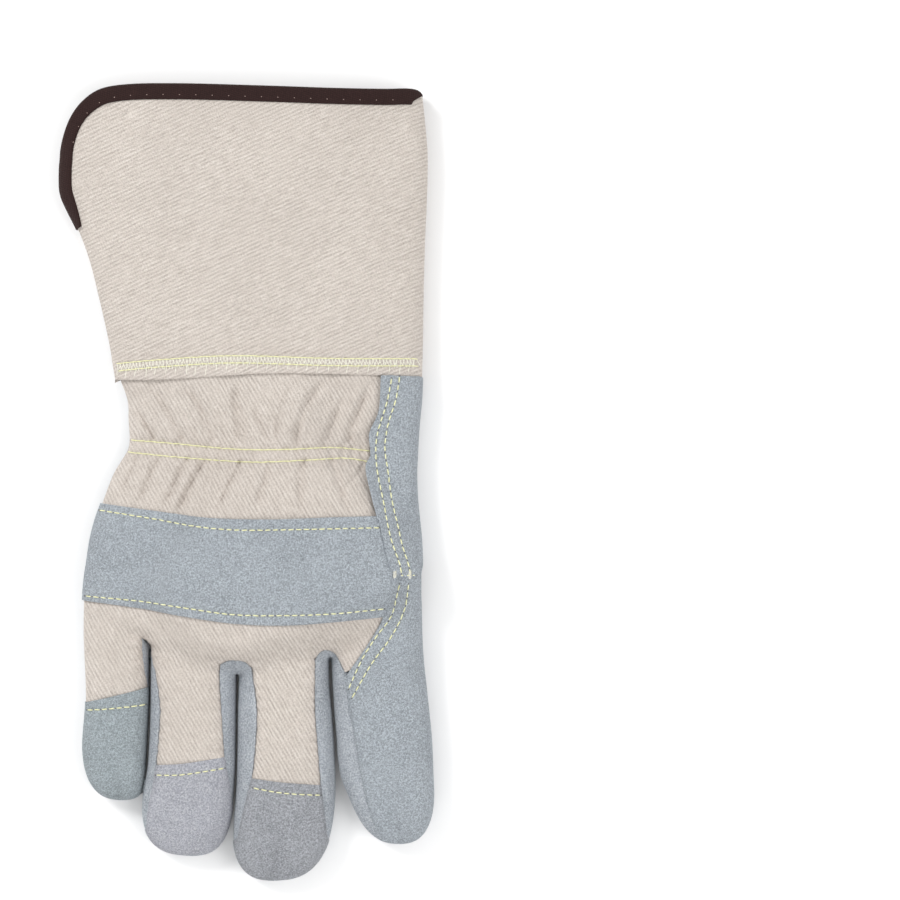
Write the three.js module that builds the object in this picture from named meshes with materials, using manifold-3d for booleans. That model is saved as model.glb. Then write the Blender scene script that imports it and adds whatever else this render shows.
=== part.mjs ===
import * as THREE from 'three';
import { mergeVertices } from 'three/addons/utils/BufferGeometryUtils.js';
import Module from 'manifold-3d';

// Leather gauntlet glove for the right hand, lying on its palm with the fingers
// along -Y, the cuff mouth along +Y and the thumb folded in under the palm.
// Millimetres, +Z up, and the floor is z = 0.

const wasm = await Module();
wasm.setup();

// Walls, layers and clearances
const wall = 1.4;
const pieceGap = 0.3;
const strapThickness = 1.3;
const patchThickness = 1.3;
const bindingThickness = 1.2;

// Hand, from the cuff seam to the finger webs
const handWidth = 131.5;
const handLength = 104;
const handHeight = 21.5;
const handCentre = 1;
const webBow = 11;

// Cuff, from the hand seam to its mouth, with its hem, its side slit and the
// binding round both
const cuffLength = 113.5;
const cuffWidth = 143;
const cuffHeight = 20;
const cuffCentre = -3;
const cornerRadius = 24;
const slitLength = 56;
const slitGap = 2;
const bindingWidth = 6;
const slitBindingWidth = 5;
const hemWidth = 6.5;
const hemRise = 0.9;

// Thumb, from its mouth in the palm's edge to its tip, and the slope by which
// the palm is lifted over it
const thumbLength = 95;
const thumbWidth = 55;
const thumbThickness = 12;
const thumbAngle = 217.2;
const thumbRootX = 60;
const thumbRootDrop = 34;
const thumbMouth = 10;
const thumbCapShare = 0.86;
const thumbRootShare = 0.1;
const liftMargin = 4;
const liftSlope = 16;

// Seams and overlaid pieces
const sideSeamHeight = 5.5;
const stripWidth = 16;
const stripLength = 77;
const diagonalLength = 38;
const diagonalWidth = 31.5;
const strapDrop = 49.5;
const strapWidth = 38;
const strapSag = 8;
const strapTopShare = 0.7;
const weltWidth = 2.6;
const weltDrop = 101;
const weltSag = 7;
const weltRise = 0.7;
const patchWidth = 83;
const patchLength = 33;
const patchRadius = 11;
const patchStart = 1.6;
const foldHeight = 1.5;

// Fingers, from the knuckles to their tips
const knuckleDrop = 86;
const fingerLength = 111.6;
const fingerThickness = 17.5;

// One row for each finger. Shares of the hand's width: where its root and tip
// lie across the hand, its own width, and how far its side walls show beside
// its back. Shares of the finger length: its length, how long its leather cap
// is, and how far past the knuckles the web to the next finger begins.
const fingerTable = [
  { name: 'pinky', root: -0.3924, tip: -0.3985, width: 0.1916, length: 0.7124, thickness: 0.857,
    leftWall: 0, rightWall: 0.0122, cap: 0.3674, web: 0.1487 },
  { name: 'ring', root: -0.1612, tip: -0.1795, width: 0.2601, length: 0.914, thickness: 0.971,
    leftWall: 0.0274, rightWall: 0.038, cap: 0.336, web: 0.224 },
  { name: 'middle', root: 0.1072, tip: 0.1019, width: 0.2905, length: 1, thickness: 1,
    leftWall: 0.0456, rightWall: 0.0471, cap: 0.3557, web: 0.1909 },
  { name: 'index', root: 0.3741, tip: 0.4304, width: 0.2844, length: 0.8647, thickness: 0.971,
    leftWall: 0.057, rightWall: 0, cap: 0, web: 0 },
];

// Sections of a finger: shares of its length, width and thickness
const fingerSections = [
  { along: 0.0, width: 0.94, thickness: 1.0 },
  { along: 0.3, width: 0.97, thickness: 1.0 },
  { along: 0.62, width: 1.0, thickness: 0.97 },
  { along: 0.8, width: 0.98, thickness: 0.9 },
  { along: 0.9, width: 0.88, thickness: 0.8 },
  { along: 0.965, width: 0.66, thickness: 0.64 },
  { along: 1.0, width: 0.32, thickness: 0.42 },
];

// Sections of the thumb: shares of its length, width and thickness
const thumbSections = [
  { along: -0.08, width: 1.62, thickness: 0.9 },
  { along: 0.02, width: 1.5, thickness: 1.0 },
  { along: 0.15, width: 1.3, thickness: 1.0 },
  { along: 0.29, width: 1.12, thickness: 1.0 },
  { along: 0.44, width: 1.03, thickness: 1.0 },
  { along: 0.65, width: 0.9, thickness: 0.96 },
  { along: 0.82, width: 0.66, thickness: 0.88 },
  { along: 0.94, width: 0.36, thickness: 0.7 },
  { along: 1.0, width: 0.12, thickness: 0.42 },
];

// Sections of the hand from the cuff seam down: shares of its length, of its
// width left and right of its centre line, of its height, and of the web bow
const handSections = [
  { along: -0.03, left: 0.385, right: 0.51, height: 0.9, bow: 0 },
  { along: 0.08, left: 0.366, right: 0.506, height: 0.9, bow: 0 },
  { along: 0.17, left: 0.36, right: 0.5, height: 0.87, bow: 0 },
  { along: 0.26, left: 0.361, right: 0.494, height: 0.84, bow: 0 },
  { along: 0.33, left: 0.39, right: 0.49, height: 0.88, bow: 0 },
  { along: 0.45, left: 0.436, right: 0.491, height: 0.95, bow: 0 },
  { along: 0.62, left: 0.478, right: 0.502, height: 1.0, bow: 0 },
  { along: 0.78, left: 0.494, right: 0.506, height: 0.98, bow: 0.25 },
  { along: 0.9, left: 0.494, right: 0.508, height: 0.9, bow: 0.7 },
  { along: 1.0, left: 0.48, right: 0.5, height: 0.72, bow: 1.0 },
];

// Sections of the cuff from its mouth down: shares of its length, of its width
// left and right of its centre line, and of its height
const cuffSections = [
  { along: -0.06, left: 0.477, right: 0.499, height: 1.0 },
  { along: 0.08, left: 0.482, right: 0.508, height: 1.0 },
  { along: 0.3, left: 0.489, right: 0.514, height: 0.97 },
  { along: 0.42, left: 0.483, right: 0.513, height: 0.94 },
  { along: 0.52, left: 0.437, right: 0.508, height: 0.93 },
  { along: 0.68, left: 0.4, right: 0.504, height: 0.94 },
  { along: 0.9, left: 0.355, right: 0.502, height: 0.98 },
  { along: 1.08, left: 0.34, right: 0.5, height: 0.97 },
];

// The side strip of the thumb leather on the back, from the cuff seam down:
// shares of its length and width
const stripSections = [
  { along: 0, width: 1.0 },
  { along: 0.17, width: 1.0 },
  { along: 0.48, width: 1.18 },
  { along: 0.74, width: 0.9 },
  { along: 1, width: 0.63 },
];

// The slanted edge of the index leather on the back: shares of its length and
// of its width in from the hand's edge
const diagonalSections = [
  { along: 0, width: 0.32 },
  { along: 0.21, width: 0.37 },
  { along: 0.42, width: 0.47 },
  { along: 0.74, width: 0.7 },
  { along: 1, width: 1 },
];

// Gathers where the elastic draws the back in: shares of the hand's length
// along and of its width across, of the fold height, and how far a fold leans
const gathers = [
  { across: -0.3, along: 0.3, reach: 0.13, width: 0.03, height: 0.8, lean: -0.1 },
  { across: -0.22, along: 0.2, reach: 0.14, width: 0.03, height: 0.9, lean: 0.15 },
  { across: -0.14, along: 0.38, reach: 0.12, width: 0.032, height: 0.8, lean: 0.1 },
  { across: -0.05, along: 0.17, reach: 0.17, width: 0.03, height: 1.0, lean: 0.05 },
  { across: 0.03, along: 0.38, reach: 0.11, width: 0.03, height: 0.7, lean: -0.1 },
  { across: 0.1, along: 0.18, reach: 0.13, width: 0.028, height: 0.9, lean: -0.05 },
  { across: 0.17, along: 0.38, reach: 0.12, width: 0.03, height: 0.8, lean: -0.2 },
  { across: 0.24, along: 0.19, reach: 0.13, width: 0.028, height: 0.9, lean: 0.05 },
  { across: 0.31, along: 0.37, reach: 0.1, width: 0.028, height: 0.7, lean: 0.2 },
];

// How round the tubes are, and how finely they are faceted
const edgeShare = 0.38;
const roundness = 2.6;
const floorSink = 0.5;
const topLiftShare = 0.62;
const seamLiftShare = 0.8;
const handSteps = { top: 26, bottom: 10 };
const cuffSteps = { top: 14, bottom: 10 };
const fingerSteps = { top: 8, bottom: 6 };
const thumbSteps = { top: 8, bottom: 5 };
const seamSteps = { across: 12, along: 16 };
const arcSteps = 6;
const reach = 400;

const canvasColour = 0xe4d8d0;
const leatherColour = 0xb3bdc4;
const materials = {
  canvas: { color: canvasColour, roughness: 0.95, metalness: 0 },
  leather: { color: leatherColour, roughness: 0.92, metalness: 0 },
  pinkyLeather: { color: 0xa9b6b8, roughness: 0.92, metalness: 0 },
  ringLeather: { color: 0xb9bcca, roughness: 0.92, metalness: 0 },
  middleLeather: { color: 0x989da5, roughness: 0.92, metalness: 0 },
  binding: { color: 0x3a2422, roughness: 0.9, metalness: 0 },
};

// Places that follow from the sizes; the cuff seam is y = 0 until the end
const thumbDirection = new THREE.Vector2(
  Math.cos(THREE.MathUtils.degToRad(thumbAngle)),
  Math.sin(THREE.MathUtils.degToRad(thumbAngle)),
);
const halfGap = pieceGap / 2;
const thumbTop = thumbThickness + pieceGap;
const handLift = thumbThickness + 2 * pieceGap;
const patchRise = patchThickness + pieceGap;
const bindingRise = bindingThickness + pieceGap;
const strapRise = strapThickness + pieceGap;
const slitEnd = cuffLength - slitLength;
const thumbCapStart = thumbLength * thumbCapShare;
const liftStart = thumbMouth - liftMargin / 2;
const thumbClearance = 3 * wall;
const fingers = fingerTable.map((row) => ({
  name: row.name,
  root: row.root * handWidth,
  tip: row.tip * handWidth,
  width: row.width * handWidth,
  leftWall: row.leftWall * handWidth,
  rightWall: row.rightWall * handWidth,
  length: row.length * fingerLength,
  cap: row.cap * fingerLength,
  web: row.web * fingerLength,
  thickness: row.thickness * fingerThickness,
}));

function smooth(low, high, value) {
  return THREE.MathUtils.smoothstep(value, low, high);
}

// The value of one column of a table between its rows
function lookUp(table, column, along) {
  let before = table[0];
  for (const row of table) {
    if (row.along >= along) {
      const span = row.along - before.along;
      const share = span > 0 ? (along - before.along) / span : 0;
      return THREE.MathUtils.lerp(before[column], row[column], share);
    }
    before = row;
  }
  return before[column];
}

function handRight(y) {
  return handCentre + handWidth * lookUp(handSections, 'right', -y / handLength);
}

function cuffLeft(y) {
  return cuffCentre - cuffWidth * lookUp(cuffSections, 'left', 1 - y / cuffLength);
}

// Distances of a point in plan along and across the thumb's axis
function thumbCoordinates(x, y) {
  const dx = x - thumbRootX;
  const dy = y + thumbRootDrop;
  const along = dx * thumbDirection.x + dy * thumbDirection.y;
  const across = dx * thumbDirection.y - dy * thumbDirection.x;
  return { along, across };
}

function thumbToPlan(along, across) {
  return [
    thumbRootX + along * thumbDirection.x + across * thumbDirection.y,
    -thumbRootDrop + along * thumbDirection.y - across * thumbDirection.x,
  ];
}

function thumbHalfWidth(along) {
  return (thumbWidth / 2) * lookUp(thumbSections, 'width', along / thumbLength);
}

// How far the hand is lifted off the floor by the thumb that lies under it
function thumbLift(x, y) {
  const { along, across } = thumbCoordinates(x, y);
  const outside = along > thumbCapStart
    ? Math.hypot(along - thumbCapStart, across) - thumbHalfWidth(thumbCapStart)
    : Math.abs(across) - thumbHalfWidth(along);
  const fall = 1 - smooth(liftMargin, liftMargin + liftSlope, outside);
  const mouth = smooth(liftStart, liftStart + liftSlope, along);
  return handLift * fall * mouth;
}

function patchEdge() {
  return cuffLeft(patchLength / 2) + patchWidth;
}

// How far the cuff is lifted off the floor by the patch and by its binding
function cuffLift(x, y) {
  const beside = 1 - smooth(patchEdge() + liftSlope, patchEdge() + 2 * liftSlope, x);
  const above = 1 - smooth(patchLength + liftMargin, patchLength + liftSlope, y);
  const rim = smooth(cuffLength - bindingWidth - liftSlope, cuffLength - 2 * bindingWidth, y);
  return Math.max(patchRise * beside * above, bindingRise * rim);
}

function gatherHeight(x, y) {
  const along = -y / handLength;
  const across = (x - handCentre) / handWidth;
  let height = 0;
  for (const fold of gathers) {
    const step = along - fold.along;
    const side = (across - fold.across - fold.lean * step) / fold.width;
    const run = step / fold.reach;
    height += fold.height * Math.exp(-side * side - run * run);
  }
  return foldHeight * height;
}

function hemHeight(x, y) {
  return y < hemWidth + halfGap ? hemRise : 0;
}

const level = () => 0;
const straight = (row, across) => [across, row.at];

// A closed mesh as a solid that can be joined and cut
function toSolid(geometry) {
  const bare = geometry.clone();
  bare.deleteAttribute('normal');
  bare.deleteAttribute('uv');
  const merged = mergeVertices(bare, 1e-5);
  return new wasm.Manifold(new wasm.Mesh({
    numProp: 3,
    vertProperties: new Float32Array(merged.attributes.position.array),
    triVerts: new Uint32Array(merged.index.array),
  }));
}

// A geometry from a list of coordinates and a list of corner numbers, as a
// solid with its faces pointing out
function solidFrom(vertices, triangles) {
  const geometry = new THREE.BufferGeometry();
  geometry.setAttribute('position', new THREE.Float32BufferAttribute(vertices, 3));
  geometry.setIndex(triangles);
  const solid = toSolid(geometry);
  if (solid.volume() > 0) {
    return solid;
  }
  geometry.setIndex([...triangles].reverse());
  return toSolid(geometry);
}

// One corner of a tube's ring: across the row and above the floor
function ringPoint(row, grow, steps, index) {
  const onTop = index < steps.top;
  const turn = onTop ? index / steps.top : 1 + (index - steps.top) / steps.bottom;
  const u = Math.cos(Math.PI * turn);
  const swell = Math.pow(Math.max(0, 1 - Math.abs(u) ** roundness), 1 / roundness);
  const edge = row.height * edgeShare;
  const above = edge + (row.height - edge + grow) * swell;
  const below = Math.max(-grow, edge - (edge + floorSink + grow) * swell);
  const half = (row.high - row.low) / 2 + grow;
  return { across: (row.low + row.high) / 2 + half * u, u, swell: onTop ? swell : 0, z: onTop ? above : below };
}

// A flattened tube through rows of { at, low, high, height }, closed at both ends
function flatTube(rows, steps, grow, { toPlan = straight, lift = level, relief = level }) {
  const ring = steps.top + steps.bottom;
  const vertices = [];
  const triangles = [];
  for (const row of rows) {
    for (let i = 0; i < ring; i += 1) {
      const point = ringPoint(row, grow, steps, i);
      const [x, y] = toPlan(row, point.across, point.u);
      const z = point.z + relief(x, y) * point.swell;
      const share = 1 - (1 - topLiftShare) * THREE.MathUtils.clamp(z / row.height, 0, 1);
      vertices.push(x, y, z + lift(x, y) * share);
    }
  }
  for (let start = 0; start < (rows.length - 1) * ring; start += ring) {
    for (let i = 0; i < ring; i += 1) {
      const a = start + i;
      const b = start + ((i + 1) % ring);
      triangles.push(a, a + ring, b, b, a + ring, b + ring);
    }
  }
  for (const start of [0, (rows.length - 1) * ring]) {
    const middle = new THREE.Vector3();
    for (let i = 0; i < ring; i += 1) {
      middle.add(new THREE.Vector3().fromArray(vertices, (start + i) * 3));
    }
    middle.divideScalar(ring);
    const centre = vertices.length / 3;
    vertices.push(middle.x, middle.y, middle.z);
    for (let i = 0; i < ring; i += 1) {
      const a = start + i;
      const b = start + ((i + 1) % ring);
      triangles.push(...(start === 0 ? [centre, a, b] : [centre, b, a]));
    }
  }
  return solidFrom(vertices, triangles);
}

// A straight-walled block over an outline in plan, between two heights
function prism(outline, bottom = -reach, top = reach) {
  const shape = new THREE.Shape(outline.map(([x, y]) => new THREE.Vector2(x, y)));
  const geometry = new THREE.ExtrudeGeometry(shape, { depth: top - bottom, bevelEnabled: false });
  geometry.translate(0, 0, bottom);
  return toSolid(geometry);
}

function slab(lowY, highY) {
  return prism([[-reach, lowY], [reach, lowY], [reach, highY], [-reach, highY]]);
}

// Join a list of solids into one
function join(solids) {
  return solids.reduce((whole, solid) => whole.add(solid));
}

// The largest connected body of a solid, without the slivers of a cut
function mainBody(solid) {
  return solid.decompose().reduce((best, body) => (body.volume() > best.volume() ? body : best));
}

function handTube(grow) {
  const rows = handSections.map((row) => ({
    at: -row.along * handLength - (row.along === 1 ? grow : 0),
    bow: row.bow * webBow,
    low: handCentre - row.left * handWidth,
    high: handCentre + row.right * handWidth,
    height: row.height * handHeight,
  }));
  return flatTube(rows, handSteps, grow, {
    toPlan: (row, across, u) => [across, row.at - row.bow * (1 - u * u)],
    lift: thumbLift,
    relief: gatherHeight,
  });
}

function fingerEnd(finger) {
  return -knuckleDrop - finger.length;
}

function fingerCentre(finger, y) {
  return THREE.MathUtils.mapLinear(y, -knuckleDrop, fingerEnd(finger), finger.root, finger.tip);
}

function fingerTube(finger, grow) {
  const rows = fingerSections.map((row) => {
    const y = -knuckleDrop - row.along * finger.length;
    const centre = fingerCentre(finger, y);
    const half = (row.width * finger.width) / 2;
    return {
      at: y - (row.along === 1 ? grow : 0),
      low: centre - half,
      high: centre + half,
      height: row.thickness * finger.thickness,
    };
  });
  return flatTube(rows, fingerSteps, grow, { lift: thumbLift });
}

// The hand's outline in plan, from the cuff seam to the tip of the side strip
function handOutline(grow) {
  const points = [[-reach, hemWidth], [handRight(0) + grow, hemWidth]];
  for (const row of handSections.filter((section) => section.along > 0)) {
    points.push([handRight(-row.along * handLength) + grow, -row.along * handLength]);
  }
  return [...points, [-reach, -handLength]];
}

function thumbTube(grow) {
  const rows = thumbSections.map((row) => ({
    at: row.along * thumbLength + (row.along === 1 ? grow : 0),
    low: (-row.width * thumbWidth) / 2,
    high: (row.width * thumbWidth) / 2,
    height: row.thickness * thumbThickness,
  }));
  const tube = flatTube(rows, thumbSteps, grow, {
    toPlan: (row, across) => thumbToPlan(row.at, across),
  });
  return tube.intersect(prism(handOutline(grow)));
}

function handSolid(grow) {
  return join([handTube(grow), ...fingers.map((f) => fingerTube(f, grow)), thumbTube(grow)]);
}

function cuffTube(grow) {
  const hemTop = 1 - hemWidth / cuffLength;
  const hemStep = 1 - (hemWidth + hemRise) / cuffLength;
  const places = [...cuffSections.map((row) => row.along), hemStep, hemTop].sort((a, b) => a - b);
  const rows = places.map((along) => ({
    at: cuffLength * (1 - along),
    low: cuffCentre - cuffWidth * lookUp(cuffSections, 'left', along),
    high: cuffCentre + cuffWidth * lookUp(cuffSections, 'right', along),
    height: cuffHeight * lookUp(cuffSections, 'height', along),
  }));
  return flatTube(rows, cuffSteps, grow, { lift: cuffLift, relief: hemHeight });
}

// Everything under the side seams, as a block whose top follows the lift
function underSeams(shift) {
  const vertices = [];
  const triangles = [];
  const { across, along } = seamSteps;
  const stride = across + 1;
  const lowY = fingerEnd(fingers[2]) - strapWidth / 2;
  for (const onTop of [true, false]) {
    for (let j = 0; j <= along; j += 1) {
      for (let i = 0; i <= across; i += 1) {
        const x = THREE.MathUtils.lerp(-handWidth, handWidth, i / across);
        const y = THREE.MathUtils.lerp(lowY, hemWidth, j / along);
        const z = sideSeamHeight + seamLiftShare * thumbLift(x, y) + shift;
        vertices.push(x, y, onTop ? z : -handHeight);
      }
    }
  }
  const count = stride * (along + 1);
  const quad = (a, b, c, d) => triangles.push(a, b, c, a, c, d);
  for (let j = 0; j < along; j += 1) {
    for (let i = 0; i < across; i += 1) {
      const a = j * stride + i;
      quad(a, a + 1, a + 1 + stride, a + stride);
      quad(a + count, a + stride + count, a + 1 + stride + count, a + 1 + count);
    }
  }
  for (let i = 0; i < across; i += 1) {
    const far = along * stride + i;
    quad(i + count, i + 1 + count, i + 1, i);
    quad(far, far + 1, far + 1 + count, far + count);
  }
  for (let j = 0; j < along; j += 1) {
    const left = j * stride;
    const right = left + across;
    quad(left, left + stride, left + stride + count, left + count);
    quad(right + count, right + stride + count, right + stride, right);
  }
  return solidFrom(vertices, triangles);
}

// Outlines in plan, each grown by a margin that makes the gap at its seams

function stripEdge(y) {
  return handRight(y) - stripWidth * lookUp(stripSections, 'width', -y / stripLength);
}

function stripRegion(margin) {
  const edge = stripSections.map((row) => {
    const y = -row.along * stripLength;
    return [stripEdge(y) - margin, row.along === 1 ? y - margin : y];
  });
  return [[reach, hemWidth], [edge[0][0], hemWidth], ...edge, [reach, -stripLength - margin]];
}

// The line between the index leather and the canvas back, down to the fingertip
function indexEdge(margin) {
  const index = fingers[3];
  const slant = diagonalSections.map((row) => {
    const y = -stripLength - row.along * diagonalLength;
    return [handRight(y) - diagonalWidth * row.width - margin, y];
  });
  const tip = fingerEnd(index) - wall;
  const wallTop = -stripLength - diagonalLength - wall;
  const side = [wallTop, tip].map((y) => [
    fingerCentre(index, y) - index.width / 2 + index.leftWall - margin, y]);
  return [...slant, ...side];
}

function indexRegion(margin) {
  const edge = indexEdge(margin);
  return [[reach, -stripLength + margin], [edge[0][0], -stripLength + margin], ...edge,
    [edge[edge.length - 1][0], -reach], [reach, -reach]];
}

function canvasEdge(finger, side, y) {
  const half = finger.width / 2;
  const inset = side < 0 ? finger.leftWall : finger.rightWall;
  return fingerCentre(finger, y) + side * (half - inset);
}

// The strip between the backs of two neighbouring fingers
function webRegion(finger, next, margin) {
  const top = -knuckleDrop - finger.web + margin;
  const end = Math.min(fingerEnd(finger), fingerEnd(next)) - wall;
  return [
    [canvasEdge(finger, 1, top) - margin, top],
    [canvasEdge(finger, 1, end) - margin, end],
    [canvasEdge(next, -1, end) + margin, end],
    [canvasEdge(next, -1, top) + margin, top],
  ];
}

function capRegion(finger, margin) {
  const top = fingerEnd(finger) + finger.cap + margin;
  const half = finger.width / 2 + wall;
  const end = fingerEnd(finger) - wall;
  const centre = fingerCentre(finger, top);
  return [[centre - half, end], [centre + half, end], [centre + half, top], [centre - half, top]];
}

// Half way between two neighbouring fingers
function between(finger, next, y) {
  const right = fingerCentre(finger, y) + finger.width / 2;
  const left = fingerCentre(next, y) - next.width / 2;
  return (right + left) / 2;
}

// The seam across the roots of the ring and middle fingers on the palm side
function weltLine(shift) {
  const [pinky, ring, middle, index] = fingers;
  const low = -weltDrop - weltSag;
  const left = between(pinky, ring, low);
  const right = between(middle, index, low);
  const points = [];
  for (let i = 0; i <= arcSteps; i += 1) {
    const u = (2 * i) / arcSteps - 1;
    points.push([THREE.MathUtils.lerp(left, right, i / arcSteps), -weltDrop - weltSag * u ** 6 + shift]);
  }
  return points;
}

function frontRegion(margin) {
  const [pinky, ring, middle, index] = fingers;
  const line = weltLine(margin - weltWidth / 2);
  const end = fingerEnd(middle) - wall;
  line[0][0] -= margin;
  line[line.length - 1][0] += margin;
  return [...line, [between(middle, index, end) + margin, end],
    [between(pinky, ring, end) - margin, end]];
}

function weltRegion(margin) {
  const high = weltLine(weltWidth / 2 + margin);
  const low = weltLine(-weltWidth / 2 - margin).reverse();
  return [...high, ...low];
}

// The thumb's outline, out to the hand's edge
function thumbRegion(margin) {
  const upper = [];
  const lower = [];
  for (const row of thumbSections) {
    const along = row.along * thumbLength;
    const end = row.along === 1 ? along + wall + margin : along;
    const half = thumbHalfWidth(along) + wall + margin;
    upper.push(thumbToPlan(end, half));
    if (row.along > thumbRootShare) {
      lower.push(thumbToPlan(end, -half));
    }
  }
  const [lastX] = lower[0];
  return [[reach, hemWidth], ...upper, ...lower.reverse(),
    [Math.max(lastX, handRight(-stripLength) + wall), -stripLength - margin],
    [reach, -stripLength - margin]];
}

// The part of that outline where the thumb is free of the hand
function freeThumbRegion(margin) {
  const start = thumbMouth - margin;
  const upper = [thumbToPlan(start, thumbHalfWidth(start) + thumbClearance)];
  const lower = [thumbToPlan(start, -thumbHalfWidth(start) - thumbClearance)];
  for (const row of thumbSections) {
    const along = row.along * thumbLength;
    if (along > start) {
      const end = row.along === 1 ? along + thumbClearance : along;
      upper.push(thumbToPlan(end, thumbHalfWidth(along) + thumbClearance));
      lower.push(thumbToPlan(end, -thumbHalfWidth(along) - thumbClearance));
    }
  }
  return [...upper, ...lower.reverse()];
}

function strapRegion() {
  const top = [];
  const bottom = [];
  for (let i = 0; i <= arcSteps; i += 1) {
    const x = THREE.MathUtils.lerp(-handWidth / 2 - strapWidth / 6, handWidth / 2, i / arcSteps);
    const u = (2 * i) / arcSteps - 1;
    const sag = strapSag * (1 - u * u);
    top.push([x, -strapDrop - sag * strapTopShare]);
    bottom.push([x, -strapDrop - strapWidth - sag]);
  }
  return [...top, ...bottom.reverse()];
}

// The cuff's outline with its rounded corner, set in from the mouth and the side
function cuffRegion(inset, sideInset, sideOut) {
  const mouth = cuffLength - inset;
  const radius = cornerRadius - sideInset;
  const left = cuffLeft(cuffLength - cornerRadius) + sideInset;
  const points = [[reach, -reach], [reach, mouth]];
  for (let i = 0; i <= arcSteps; i += 1) {
    const turn = (Math.PI / 2) * (1 + i / arcSteps);
    points.push([left + radius * (1 + Math.cos(turn)), mouth - radius * (1 - Math.sin(turn))]);
  }
  if (sideOut) {
    points.push([-reach, mouth - radius]);
  } else {
    for (const row of cuffSections) {
      const y = cuffLength * (1 - row.along);
      if (y < mouth - radius && y > slitEnd) {
        points.push([cuffLeft(y) + sideInset, y]);
      }
    }
    points.push([cuffLeft(slitEnd) + sideInset, slitEnd], [-reach, slitEnd]);
  }
  points.push([-reach, -reach]);
  return points;
}

// The slot of the side slit, between the two layers' edges
function slitSlot(height) {
  const middle = edgeShare * cuffHeight + bindingRise / 2;
  const depth = cuffLeft(cuffLength) + slitBindingWidth;
  const outline = [[-reach, slitEnd], [cuffLeft(slitEnd) + slitBindingWidth, slitEnd],
    [depth, slitEnd + cornerRadius], [depth, reach], [-reach, reach]];
  return prism(outline, middle - height / 2, middle + height / 2);
}

function patchRegion() {
  const right = patchEdge();
  const points = [[-reach, patchStart], [right - patchRadius / 2, patchStart]];
  for (let i = 0; i <= arcSteps; i += 1) {
    const turn = ((Math.PI / 2) * i) / arcSteps;
    points.push([
      right - patchRadius * (1 - Math.cos(turn)),
      patchLength + patchStart - patchRadius * (1 - Math.sin(turn)),
    ]);
  }
  points.push([-reach, patchLength + patchStart]);
  return points;
}

// The walls of the hand and of the cuff
const handWall = handSolid(0).subtract(handSolid(-wall)).intersect(slab(-reach, -halfGap));
const cuffShell = cuffTube(0).subtract(cuffTube(-wall)).intersect(slab(halfGap, reach));

const cuffSlot = slitGap + 2 * bindingRise;
const cuffWall = cuffShell
  .intersect(prism(cuffRegion(bindingRise, 0, true)))
  .subtract(slitSlot(cuffSlot));
const cuffRoom = cuffTube(pieceGap).subtract(cuffTube(-wall - pieceGap))
  .intersect(prism(cuffRegion(bindingRise - pieceGap, 0, true)))
  .subtract(slitSlot(cuffSlot - 2 * pieceGap));
const binding = cuffTube(bindingRise).subtract(cuffTube(-wall - bindingRise))
  .intersect(prism(cuffRegion(0, 0, true)))
  .subtract(prism(cuffRegion(bindingWidth, slitBindingWidth, false)))
  .subtract(slitSlot(slitGap))
  .subtract(cuffRoom);

const patch = cuffTube(patchRise).subtract(cuffTube(pieceGap))
  .intersect(prism(patchRegion(), -reach, edgeShare * cuffHeight));

// The thumb and its side strip
const thumbBlock = (margin) => prism(thumbRegion(margin), -reach, thumbTop + margin);
const freeBlock = (margin) => prism(
  freeThumbRegion(margin),
  thumbThickness / 2 - margin,
  thumbTop + margin,
);
const thumbWhole = handWall.intersect(thumbBlock(-halfGap).add(prism(stripRegion(-halfGap))));
const thumbFront = thumbWhole.subtract(freeBlock(halfGap));
const thumbBack = handWall.intersect(thumbBlock(-halfGap)).intersect(freeBlock(-halfGap));
const aboveThumb = handWall
  .subtract(thumbBlock(halfGap))
  .subtract(prism(stripRegion(halfGap)));

// The palm side, with the index finger wrapped by the palm leather
const low = underSeams(-halfGap);
const high = underSeams(halfGap);
const index = prism(indexRegion(-halfGap));
const palm = aboveThumb.intersect(low.add(index))
  .subtract(prism(frontRegion(halfGap), -reach, handHeight).intersect(low))
  .subtract(prism(weltRegion(pieceGap)).intersect(low));
const fingerFront = aboveThumb.intersect(low).intersect(prism(frontRegion(-halfGap)));
const weltLayer = handSolid(0).subtract(handSolid(-wall - weltRise));
const welt = weltLayer.intersect(prism(weltRegion(0))).intersect(low);

// The back: canvas, webs and fingertip caps
const back = aboveThumb.subtract(high).subtract(prism(indexRegion(halfGap)));
const webs = fingers.slice(0, 3).map((finger, i) => ({
  name: `forchette_${finger.name}_${fingers[i + 1].name}`,
  region: (margin) => prism(webRegion(finger, fingers[i + 1], margin)),
}));
const allWebs = join(webs.map((web) => web.region(halfGap)));
const caps = fingers.slice(0, 3).map((finger) => ({
  name: `fingertip_${finger.name}`,
  region: (margin) => prism(capRegion(finger, margin)),
}));
const allCaps = join(caps.map((cap) => cap.region(halfGap)));
const canvasBack = back.subtract(allWebs).subtract(allCaps);

const strap = handSolid(strapRise).subtract(handSolid(pieceGap))
  .intersect(prism(strapRegion()))
  .subtract(high)
  .subtract(prism(stripRegion(pieceGap)))
  .subtract(prism(indexRegion(pieceGap)));

const glove = new THREE.Group();

function addPiece(name, solid, finish) {
  const mesh = mainBody(solid).getMesh();
  const geometry = new THREE.BufferGeometry();
  geometry.setAttribute('position', new THREE.Float32BufferAttribute(mesh.vertProperties, 3));
  geometry.setIndex([...mesh.triVerts]);
  geometry.computeVertexNormals();
  const piece = new THREE.Mesh(geometry, new THREE.MeshStandardMaterial(materials[finish]));
  piece.name = name;
  glove.add(piece);
}

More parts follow.
